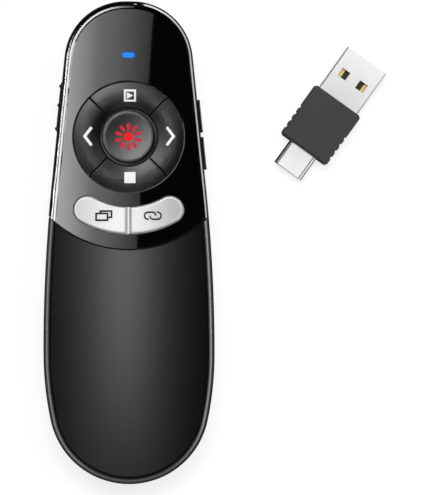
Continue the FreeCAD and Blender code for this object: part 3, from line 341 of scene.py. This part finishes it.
finishes = {name: mouldedPlastic(name, look) for name, look in mouldings.items()}
finishes.update({name: drawnMetal(name, look) for name, look in metals.items()})
finishes["key_silver"] = silverLacquer("key_silver")
finishes["light_blue"] = lightPipeGlow("light_blue")
finishes["window_dark"] = darkWindow("window_dark")
finishes["board_green"] = solderMask("board_green")
finishes["battery_skin"] = batterySleeve("battery_skin")
ownFinish = {"key_divider": silverLacquer("key_silver_groove_shade", dividerGrooveShade)}  # instead of its slot's
for part in frame["record"]["subparts"]:
    node = nodes[part["node"]]
    node.data.materials.clear()
    node.data.materials.append(ownFinish.get(part["node"], finishes[part["material_slot"]]))
print("finishes on the CAD nodes")

# The face and keys as the part has them, in millimetres
face = {"apex": 22.4, "ringY": 26.4, "across": 130.0, "along": 650.0, "bandRise": 0.35}
ring = {"inner": (7.05, 21.55), "crest": (10.2, 22.85), "outer": (13.5, 22.25)}
dish = {"top": 22.3, "radius": 5.65, "depth": 0.3}


def circleThrough(a, b, c):  # centre and radius
    ax, ay, bx, by, cx, cy = *a, *b, *c
    aa = ax * ax + ay * ay
    bb = bx * bx + by * by
    cc = cx * cx + cy * cy
    d = 2 * (ax * (by - cy) + bx * (cy - ay) + cx * (ay - by))
    u = (aa * (by - cy) + bb * (cy - ay) + cc * (ay - by)) / d
    v = (aa * (cx - bx) + bb * (ax - cx) + cc * (bx - ax)) / d
    return u, v, math.hypot(ax - u, ay - v)


ringCentre, ringBase, ringBulge = circleThrough(ring["inner"], ring["crest"], ring["outer"])


def ringHeight(x, y):  # domed ring keys
    reach = math.hypot(x, y - face["ringY"]) - ringCentre
    return ringBase + math.sqrt(ringBulge ** 2 - reach ** 2)


def dishHeight(x, y):  # hollow of the laser key
    ball = (dish["radius"] ** 2 + dish["depth"] ** 2) / (2 * dish["depth"])
    reach = math.hypot(x, y - face["ringY"])
    return dish["top"] - dish["depth"] + ball - math.sqrt(ball ** 2 - reach ** 2)


def bandHeight(x, y):  # crowned top of the silver keys
    across = math.sqrt((face["across"] + face["bandRise"]) ** 2 - x * x)
    fromAxis = face["along"] - face["across"] + across
    return face["apex"] - face["along"] + math.sqrt(fromAxis ** 2 - (y - face["ringY"]) ** 2)


# The inks glow a little: painted light that makes the prints brighter than their lighting
inks = {
    "icon_white": {"dark": grey(0.86), "light": grey(0.92), "rough": 0.45, "glow": 0.10},
    "icon_red": {
        "dark": (0.70, 0.012, 0.012, 1), "light": (0.82, 0.018, 0.014, 1), "rough": 0.35, "glow": 0.25,
        "petal": (0.56, 0.020, 0.034, 1), "petalFrom": 1.3},
    "icon_black": {"dark": grey(0.006), "light": grey(0.012), "rough": 0.40, "glow": 0.0},
}
inkGrain = {"speck": 6000, "detail": 2.0, "relief": 0.2, "depth": 0.002}


def printedInk(name):
    look = inks[name]
    finish = Finish(name)
    speck = finish.noise(finish.place(), inkGrain["speck"], inkGrain["detail"])
    colour = finish.tint(speck, look["dark"], look["light"])
    if "petal" in look:  # thinner ink on the petals, which lets the black key through
        reach = finish.distance((0, face["ringY"] * mm, dish["top"] * mm))
        colour = finish.tint(reach.maths("GREATER_THAN", look["petalFrom"] * mm), colour, look["petal"])
    return finish.shade({
        "Base Color": colour,
        "Roughness": look["rough"],
        # painted light: the print glows in its own colour
        "Emission Color": colour,
        "Emission Strength": look["glow"],
        "Normal": finish.bump(speck, inkGrain["relief"], inkGrain["depth"] * mm),
    })


inkFinish = {name: printedInk(name) for name in inks}
# How far a print stands above its key and reaches into it, its cells, the distances within which points are
# one, and the height of the wall that a line starts as
prints = {"above": 0.035, "below": -0.06, "cell": 0.4, "merge": 1e-4, "cut": 1e-5, "wall": 1.0}


def meshOf(name, work):
    mesh = bpy.data.meshes.new(name)
    work.to_mesh(mesh)
    work.free()
    return mesh


def linked(name, data):
    thing = bpy.data.objects.new(name, data)
    bpy.context.scene.collection.objects.link(thing)
    return thing


def cutFine(work, step):  # cut a flat shape into cells so that it can follow a curved key
    for axis, normal in enumerate([(1, 0, 0), (0, 1, 0)]):
        places = [vert.co[axis] for vert in work.verts]
        low, high = min(places), max(places)
        for index in range(1, int((high - low) / step) + 1):
            point = [0, 0, 0]
            point[axis] = low + index * step
            geom = work.verts[:] + work.edges[:] + work.faces[:]
            bmesh.ops.bisect_plane(work, geom=geom, dist=prints["cut"], plane_co=point, plane_no=normal)


def settle(name, work, body, slot):  # millimetres in, metres out, riding on its body
    bmesh.ops.recalc_face_normals(work, faces=work.faces)
    bmesh.ops.scale(work, verts=work.verts, vec=(mm, mm, mm))
    piece = linked(name, meshOf(name, work))
    piece.data.materials.append(inkFinish[slot])
    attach(piece, body)


def printFlat(name, work, height, body, ink, centre):  # flat faces become a thin print on a key
    bmesh.ops.translate(work, verts=work.verts, vec=(centre[0], centre[1], 0))
    bmesh.ops.remove_doubles(work, verts=work.verts, dist=prints["merge"])
    cutFine(work, prints["cell"])
    top = bmesh.ops.extrude_face_region(work, geom=work.faces[:])["geom"]
    raised = {vert for vert in top if isinstance(vert, bmesh.types.BMVert)}
    for vert in work.verts:
        lift = prints["above"] if vert in raised else prints["below"]
        vert.co.z = height(vert.co.x, vert.co.y) + lift
    settle(name, work, body, ink)


def polygon(work, points):
    verts = [work.verts.new((x, y, 0)) for x, y in points]
    bmesh.ops.contextual_create(work, geom=verts)


icons = {
    "boxSide": 2.98, "boxLine": 0.48, "boxRound": 0.06, "boxCentre": (0.4, 36.55), "arrow": (1.55, 1.7),
    "stopSide": 2.75, "stopRound": 0.08, "stopCentre": (0.4, 16.3), "cornerSegments": 2,
    "backTip": (-11.2, 26.5), "nextTip": (11.6, 26.5), "chevron": (1.85, 2.45), "chevronLine": 0.68,
    "chevronRound": 0.16, "chevronSegments": 3,
    "dot": 1.15, "dotSegments": 40, "petals": 10, "petalSegments": 24, "petalFrom": 1.5, "petalTo": 3.45,
    "petalWide": 0.98, "petalMiddleShare": 0.86, "petalFlareShare": 0.20,
}


def softSquare(work, side, radius):
    made = bmesh.ops.create_grid(work, x_segments=1, y_segments=1, size=side / 2)["verts"]
    bmesh.ops.bevel(work, geom=made, offset=radius, affect="VERTICES", segments=icons["cornerSegments"],
                    profile=0.5, material=-1)


def playIcon():
    work = bmesh.new()
    softSquare(work, icons["boxSide"], icons["boxRound"])
    border = bmesh.ops.inset_region(work, faces=work.faces[:], thickness=icons["boxLine"],
                                    use_boundary=True, use_even_offset=True)["faces"]
    hole = [panel for panel in work.faces if panel not in border]
    bmesh.ops.delete(work, geom=hole, context="FACES_ONLY")
    long, tall = icons["arrow"]
    polygon(work, [(-long / 2, -tall / 2), (long / 2, 0), (-long / 2, tall / 2)])
    printFlat("play_icon", work, ringHeight, "play_key", "icon_white", icons["boxCentre"])


def stopIcon():
    work = bmesh.new()
    softSquare(work, icons["stopSide"], icons["stopRound"])
    printFlat("stop_icon", work, ringHeight, "stop_key", "icon_white", icons["stopCentre"])


def chevronIcon(name, body, tip, facing):
    long, tall = icons["chevron"]
    slope = math.hypot(long, tall)
    across = icons["chevronLine"] * slope / tall
    rise = icons["chevronLine"] * long / slope
    run = icons["chevronLine"] * tall / slope
    work = bmesh.new()
    for side in (-1, 1):
        points = [(0, 0), (-long, side * tall), (-long - run, side * (tall - rise)), (-across, 0)]
        polygon(work, [(facing * x, y) for x, y in points])
    bmesh.ops.remove_doubles(work, verts=work.verts, dist=prints["merge"])
    ends = [vert for vert in work.verts if abs(vert.co.y) > prints["merge"]]
    bmesh.ops.bevel(work, geom=ends, offset=icons["chevronRound"], affect="VERTICES",
                    segments=icons["chevronSegments"], profile=0.5, material=-1)
    printFlat(name, work, ringHeight, body, "icon_white", tip)


def burstIcon():  # a dot and a circle of petals, each wider at its outer end
    work = bmesh.new()
    bmesh.ops.create_circle(work, cap_ends=True, segments=icons["dotSegments"], radius=icons["dot"])
    half = (icons["petalTo"] - icons["petalFrom"]) / 2
    middle = (icons["petalTo"] + icons["petalFrom"]) / 2
    segments = icons["petalSegments"]
    for step in range(icons["petals"]):
        petal = bmesh.ops.create_circle(work, cap_ends=True, segments=segments, radius=1.0)["verts"]
        for vert in petal:
            share = icons["petalMiddleShare"] + icons["petalFlareShare"] * vert.co.y
            wide = icons["petalWide"] / 2 * share
            vert.co = Vector((vert.co.x * wide, middle + vert.co.y * half, 0))
        bmesh.ops.rotate(work, verts=petal, cent=(0, 0, 0),
                         matrix=Matrix.Rotation(step * math.tau / icons["petals"], 3, "Z"))
    printFlat("burst_icon", work, dishHeight, "laser_key", "icon_red", (0, face["ringY"]))


def strokeWork(paths, width):  # each path stands up as a thin wall, which Solidify widens into an even line
    work = bmesh.new()
    for points, closed in paths:
        verts = [work.verts.new((x, y, 0)) for x, y in points]
        pairs = list(zip(verts, verts[1:])) + ([(verts[-1], verts[0])] if closed else [])
        edges = [work.edges.new(pair) for pair in pairs]
        grown = bmesh.ops.extrude_edge_only(work, edges=edges)["geom"]
        raised = [vert for vert in grown if isinstance(vert, bmesh.types.BMVert)]
        bmesh.ops.translate(work, verts=raised, vec=(0, 0, prints["wall"]))
    wall = linked("stroke", meshOf("stroke", work))
    solid = wall.modifiers.new("wide", "SOLIDIFY")
    solid.thickness = width
    solid.offset = 0
    solid.use_even_offset = True
    bpy.context.view_layer.update()
    shown = wall.evaluated_get(bpy.context.evaluated_depsgraph_get())
    line = bmesh.new()
    line.from_mesh(bpy.data.meshes.new_from_object(shown))
    bpy.data.objects.remove(wall)
    return line


def printLines(name, paths, width, body, ink):
    line = strokeWork(paths, width)
    for vert in line.verts:
        lift = prints["above"] if vert.co.z > prints["wall"] / 2 else prints["below"]
        vert.co.z = bandHeight(vert.co.x, vert.co.y) + lift
    settle(name, line, body, ink)


def arcPoints(cx, cy, radius, start, end, steps):
    turns = [start + (end - start) * step / steps for step in range(steps + 1)]
    return [(cx + radius * math.cos(turn), cy + radius * math.sin(turn)) for turn in turns]


windowIcon = {"front": (-7.98, 5.77, -5.15, 7.43), "back": (-6.91, 6.48, -4.16, 8.02), "line": 0.44}
linkIcon = {
    "centre": (6.05, 6.88), "left": 4.88, "inner": 5.90, "radius": 0.876, "tail": 0.17, "line": 0.40,
    "quarterSteps": 8, "halfSteps": 14,
}


def windowsPicture():
    left, low, right, high = windowIcon["front"]
    farLeft, farLow, farRight, farHigh = windowIcon["back"]
    front = [(left, low), (right, low), (right, high), (left, high)]
    back = [(farLeft, high), (farLeft, farHigh), (farRight, farHigh), (farRight, farLow), (right, farLow)]
    paths = [(front, True), (back, False)]
    printLines("windows_icon", paths, windowIcon["line"], "window_key", "icon_black")


def linkPicture():  # two open links, the one the other turned half round
    cx, cy = linkIcon["centre"]
    radius = linkIcon["radius"]
    quarter = math.pi / 2
    link = arcPoints(linkIcon["inner"], cy, radius, 0, quarter, linkIcon["quarterSteps"])
    link += arcPoints(linkIcon["left"], cy, radius, quarter, 3 * quarter, linkIcon["halfSteps"])
    link.append((linkIcon["left"] + linkIcon["tail"], cy - radius))
    other = [(2 * cx - x, 2 * cy - y) for x, y in link]
    printLines("link_icon", [(link, False), (other, False)], linkIcon["line"], "link_key", "icon_black")


playIcon()
stopIcon()
chevronIcon("previous_icon", "previous_key", icons["backTip"], -1)
chevronIcon("next_icon", "next_key", icons["nextTip"], 1)
burstIcon()
windowsPicture()
linkPicture()
print("icons printed on the keys")

# Studio, in metres
studio = {
    "floorSize": 12.0, "floorCells": 8, "floorWhite": 0.86, "floorSteady": 0.74, "floorGlow": 1.11,
    "air": 0.02, "cameraCentre": (0.02202, -0.00097), "faceHeight": 0.0224, "distance": 0.80,
    "frameHeight": 0.12228, "sensor": 36.0, "clip": (0.01, 30.0),
}


def staged(name, work):
    piece = linked(name, meshOf(name, work))
    return piece


def stageGrid(name, cells, size, height=0.0):
    work = bmesh.new()
    bmesh.ops.create_grid(work, x_segments=cells, y_segments=cells, size=size)
    bmesh.ops.translate(work, verts=work.verts, vec=(0, 0, height))
    return staged(name, work)


def studioFloor():
    floor = stageGrid("studio_floor", studio["floorCells"], studio["floorSize"] / 2)
    finish = Finish("floor_paper")
    camera = finish.add("ShaderNodeLightPath")
    rays = camera + camera.beside("Is Glossy Ray") + camera.beside("Is Transmission Ray")
    paper = finish.add("ShaderNodeBsdfDiffuse", {}, {"Color": grey(studio["floorWhite"])})
    steady = finish.add("ShaderNodeEmission", {}, {"Color": grey(1.0), "Strength": studio["floorGlow"]})
    mixed = finish.add("ShaderNodeMixShader", {}, {0: rays * studio["floorSteady"], 1: paper, 2: steady})
    floor.data.materials.append(finish.close(mixed))


ringPieces = ["play_key", "previous_key", "stop_key", "next_key"]
silverPieces = ["window_key", "link_key", "key_divider"]
sidePieces = ["rear_housing", "battery_cover", "volume_up_key", "volume_down_key", "power_slider",
              "laser_window", "housing_screws"]
plugPieces = [name for name in nodes if name.startswith("receiver_usb")]
ownPieces = ["laser_key"] + ringPieces + silverPieces + sidePieces + plugPieces
ownPieces += ["faceplate", "front_housing", "grip_cover", "light_pipe", "receiver_housing"]
otherPieces = [name for name in nodes if name not in ownPieces]

# Soft boxes that only gloss sees, each for its own pieces. Flat ones have corners in metres. Curved ones lie
# on a dome, by compass and polar angle in degrees. Brightness runs from side to side and from end to end.
even = [(0.0, 1.0), (1.0, 1.0)]
softBoxes = {
    "card_face": {
        "corners": [(-0.62, -0.11, 1.2), (0.008, -0.11, 1.2), (0.105, 0.30, 1.2), (-0.62, 0.30, 1.2)],
        "across": [(0.0, 14.0), (0.35, 9.0), (0.62, 3.4), (1.0, 0.75)],
        "along": even, "for": ["faceplate"]},
    "card_grip": {
        "corners": [(-0.434, -0.5, 1.2), (0.345, -0.5, 1.2), (0.345, 0.1, 1.2), (-0.434, 0.1, 1.2)],
        "across": [(0.0, 0.22), (0.105, 0.37), (0.21, 0.66), (0.32, 0.68), (0.63, 0.66), (0.74, 0.48),
                   (0.84, 0.20), (0.947, 0.03), (1.0, 0.01)],
        "along": even, "for": ["grip_cover"]},
    "card_grip_glow": {
        "corners": [(-0.434, -0.5, 1.2), (0.345, -0.5, 1.2), (0.345, 0.1, 1.2), (-0.434, 0.1, 1.2)],
        "across": [(0.18, 0.0), (0.24, 0.22), (0.33, 1.25), (0.42, 2.75), (0.474, 3.35), (0.526, 3.1),
                   (0.62, 1.4), (0.70, 0.3), (0.78, 0.0)],
        "along": [(0.10, 0.0), (0.16, 0.07), (0.22, 0.25), (0.28, 0.47), (0.345, 0.66), (0.405, 0.82),
                  (0.53, 1.0), (0.65, 1.1), (1.0, 1.15)],
        "for": ["grip_cover"]},
    "bevel_left": {
        "compass": (88, 192), "polar": (29, 52),
        "across": [(0.0, 0.0), (0.25, 20.0), (1.0, 22.0)],
        "along": [(0.0, 0.25), (0.35, 1.0), (1.0, 1.0)], "for": ["faceplate"]},
    "rim_left": {
        "compass": (148, 212), "polar": (3, 38),
        "across": [(0.0, 4.0), (0.1, 24.0), (1.0, 24.0)],
        "along": even, "for": ["front_housing"]},
    "rim_right": {
        "compass": (-20, 79), "polar": (22, 66),
        "across": [(0.0, 11.0), (0.6, 12.0), (0.8, 19.0), (1.0, 19.0)],
        "along": even, "for": ["front_housing"]},
    "grip_edge": {
        "compass": (150, 390), "polar": (56, 89),
        "across": [(0.0, 6.5), (0.30, 5.6), (0.42, 2.6), (0.62, 2.6), (0.78, 8.0), (1.0, 10.0)],
        "along": [(0.0, 0.0), (0.5, 0.6), (0.8, 1.0), (1.0, 1.0)], "for": ["grip_cover"]},
    "ring_zenith": {
        "compass": (0, 360), "polar": (0, 46), "across": even,
        "along": [(0.0, 1.55), (0.25, 1.05), (0.5, 0.42), (0.75, 0.1), (1.0, 0.0)], "for": ringPieces},
    "ring_sky": {
        "compass": (0, 360), "polar": (0, 86),
        "across": [(0.0, 0.12), (0.055, 0.45), (0.11, 0.75), (0.17, 0.75), (0.22, 1.4), (0.28, 3.6),
                   (0.33, 5.0), (0.39, 3.9), (0.44, 2.4), (0.50, 1.0), (0.56, 0.65), (0.61, 0.25),
                   (0.67, 0.35), (0.75, 0.6), (0.83, 0.3), (0.89, 0.05), (1.0, 0.12)],
        "along": [(0.0, 0.0), (0.08, 0.15), (0.2, 0.55), (0.33, 0.85), (0.5, 1.0), (1.0, 1.05)],
        "for": ringPieces + ["laser_key"]},
    "card_dish": {
        "corners": [(-0.13, -0.73, 1.2), (0.73, 0.05, 1.2), (0.05, 0.73, 1.2), (-0.73, -0.05, 1.2)],
        "across": even,
        "along": [(0.0, 0.0), (0.25, 0.06), (0.5, 0.9), (0.66, 3.4), (0.8, 5.5), (1.0, 6.0)],
        "for": ["laser_key"]},
    "card_silver": {
        "corners": [(-0.45, -0.45, 1.2), (0.25, -0.45, 1.2), (0.25, 0.25, 1.2), (-0.45, 0.25, 1.2)],
        "across": [(0.0, 0.5), (0.22, 0.8), (0.3, 1.4), (0.53, 2.3), (0.67, 2.0), (0.78, 1.35),
                   (0.86, 0.45), (0.93, 0.0)],
        "along": even, "for": silverPieces},
    "silver_edge": {
        "compass": (0, 360), "polar": (26, 86),
        "across": [(0.0, 1.6), (0.25, 2.4), (0.5, 1.8), (0.75, 0.8), (1.0, 1.6)],
        "along": even, "for": silverPieces},
    "plate_low": {
        "compass": (0, 360), "polar": (46, 84),
        "across": [(0.0, 1.0), (0.35, 2.2), (0.6, 1.0), (0.8, 1.8), (1.0, 1.0)],
        "along": [(0.0, 0.0), (0.3, 1.0), (1.0, 0.4)], "for": ["faceplate", "light_pipe"]},
    "grip_low": {
        "compass": (30, 330), "polar": (44, 70),
        "across": [(0.0, 0.25), (0.5, 0.5), (1.0, 0.25)],
        "along": [(0.0, 0.0), (0.4, 1.0), (1.0, 0.6)], "for": ["grip_cover"]},
    "plug_low": {
        "compass": (0, 360), "polar": (50, 86),
        "across": [(0.0, 1.0), (0.4, 0.5), (0.7, 1.2), (1.0, 1.0)],
        "along": even, "for": plugPieces},
    "side_low": {
        "compass": (0, 360), "polar": (40, 80),
        "across": [(0.0, 0.6), (0.3, 1.6), (0.55, 0.5), (0.8, 1.6), (1.0, 0.6)],
        "along": [(0.0, 0.0), (0.5, 1.0), (1.0, 0.5)],
        "for": sidePieces + otherPieces + ["receiver_housing"]},
    "card_right": {
        "corners": [(0.62, -0.5, 1.1), (1.4, -0.5, 0.25), (1.4, 0.5, 0.25), (0.62, 0.5, 1.1)],
        "across": [(0.0, 6.0), (1.0, 6.0)], "along": even, "for": sidePieces + otherPieces},
    "card_left": {
        "corners": [(-1.2, -1.1, 0.35), (-0.5, -1.1, 1.0), (-0.75, -0.25, 1.0), (-1.3, -0.25, 0.35)],
        "across": [(0.0, 6.0), (1.0, 6.0)], "along": even, "for": sidePieces + otherPieces},
    "card_plug": {
        "corners": [(-0.45, -0.45, 1.2), (0.65, -0.45, 1.2), (0.65, 0.65, 1.2), (-0.45, 0.65, 1.2)],
        "across": [(0.0, 1.1), (1.0, 1.1)], "along": even, "for": plugPieces},
}
boxMake = {"cells": (32, 16), "domeRadius": 1.6, "apart": 0.008}  # apart, so that no two lie in one plane


def boxRamp(finish, place, stops):  # brightness table, its highest value taken out
    top = max(level for spot, level in stops)
    shades = [(spot, grey(level / top)) for spot, level in stops]
    return finish.add("ShaderNodeValToRGB", {"stops": shades}, {"Fac": place}), top


def between(limits, share):
    return limits[0] + (limits[1] - limits[0]) * share


def boxPoint(look, u, v, apart):
    if "corners" in look:
        a, b, c, d = [Vector(corner) for corner in look["corners"]]
        return a.lerp(b, u).lerp(d.lerp(c, u), v) + Vector((0, 0, apart))
    compass = math.radians(between(look["compass"], u))
    polar = math.radians(between(look["polar"], v))
    far = boxMake["domeRadius"] + apart
    flat = far * math.sin(polar)
    return Vector((flat * math.cos(compass), flat * math.sin(compass), far * math.cos(polar)))


def softBox(name, look, apart):
    work = bmesh.new()
    layer = work.loops.layers.uv.new("across")
    wide, long = boxMake["cells"]
    bmesh.ops.create_grid(work, x_segments=wide, y_segments=long, size=0.5)
    for sheet in work.faces:
        for loop in sheet.loops:
            loop[layer].uv = (loop.vert.co.x + 0.5, loop.vert.co.y + 0.5)
    for vert in work.verts:
        vert.co = boxPoint(look, vert.co.x + 0.5, vert.co.y + 0.5, apart)
    card = staged(name, work)
    card.visible_camera = False
    card.visible_diffuse = False
    card.visible_shadow = False
    card.visible_transmission = False
    card.visible_volume_scatter = False
    lit = bpy.data.collections.new(name + "_for")
    for piece in look["for"]:
        lit.objects.link(nodes[piece])
    card.light_linking.receiver_collection = lit
    finish = Finish(name)
    where = finish.add("ShaderNodeUVMap", {"uv_map": "across"})
    side = finish.add("ShaderNodeSeparateXYZ", {}, {"Vector": where})
    levelAcross, topAcross = boxRamp(finish, side, look["across"])
    levelAlong, topAlong = boxRamp(finish, side.beside("Y"), look["along"])
    level = finish.vector("MULTIPLY", levelAcross, levelAlong)
    glow = finish.add("ShaderNodeEmission", {}, {"Color": level, "Strength": topAcross * topAlong})
    clear = finish.add("ShaderNodeBsdfTransparent")
    card.data.materials.append(finish.close(finish.add("ShaderNodeAddShader", {}, {0: glow, 1: clear})))


# Dark cloth round the handset, seen only in gloss, for clean dark outlines. It turns pale further out.
flagLook = {
    "size": 0.9, "cells": 4, "height": 0.0002, "core": (0.006, 0.045, 0.0), "fade": (0.026, 0.060),
    "cloth": 0.004, "pale": 0.55,
}


def blackFlag():
    flag = stageGrid("black_flag", flagLook["cells"], flagLook["size"], flagLook["height"])
    flag.visible_camera = False
    flag.visible_diffuse = False
    flag.visible_shadow = False
    finish = Finish("flag_cloth")
    side = finish.vector("SUBTRACT", finish.vector("ABSOLUTE", finish.own()), flagLook["core"])
    side = finish.vector("MAXIMUM", side, (0.0, 0.0, 0.0))
    away = finish.fade(finish.length(side), *flagLook["fade"])
    cloth = finish.add("ShaderNodeBsdfDiffuse", {}, {"Color": grey(flagLook["cloth"])})
    pale = finish.add("ShaderNodeEmission", {}, {"Color": grey(1.0), "Strength": flagLook["pale"]})
    mixed = finish.add("ShaderNodeMixShader", {}, {0: away, 1: cloth, 2: pale})
    flag.data.materials.append(finish.close(mixed))


lamps = {
    "lamp_key": {"at": (-0.05, 0.40, 1.35), "size": 0.5, "power": 14.0},
    "lamp_fill": {"at": (0.50, 0.30, 1.30), "size": 0.6, "power": 5.0},
}


def softLamp(name, look):
    light = bpy.data.lights.new(name, "AREA")
    light.shape = "SQUARE"
    light.size = look["size"]
    light.energy = look["power"]
    lamp = linked(name, light)
    lamp.location = look["at"]
    lamp.rotation_euler = (-Vector(look["at"])).to_track_quat("-Z", "Y").to_euler()
    lamp.visible_glossy = False


def studioWorld():
    world = bpy.data.worlds.new("studio_air")
    bpy.context.scene.world = world
    world.use_nodes = True
    background = world.node_tree.nodes["Background"]
    background.inputs["Color"].default_value = grey(1.0)
    background.inputs["Strength"].default_value = studio["air"]


def studioCamera():  # straight down on the face
    camera = linked("camera", bpy.data.cameras.new("camera"))
    x, y = studio["cameraCentre"]
    camera.location = (x, y, studio["faceHeight"] + studio["distance"])
    camera.data.sensor_width = studio["sensor"]
    camera.data.lens = studio["sensor"] * studio["distance"] / studio["frameHeight"]
    camera.data.clip_start, camera.data.clip_end = studio["clip"]
    bpy.context.scene.camera = camera


studioFloor()
blackFlag()
for index, (name, look) in enumerate(softBoxes.items()):
    softBox(name, look, boxMake["apart"] * index)
for name, look in lamps.items():
    softLamp(name, look)
studioWorld()
studioCamera()
bpy.context.scene.view_settings.view_transform = "Standard"
print("studio set")
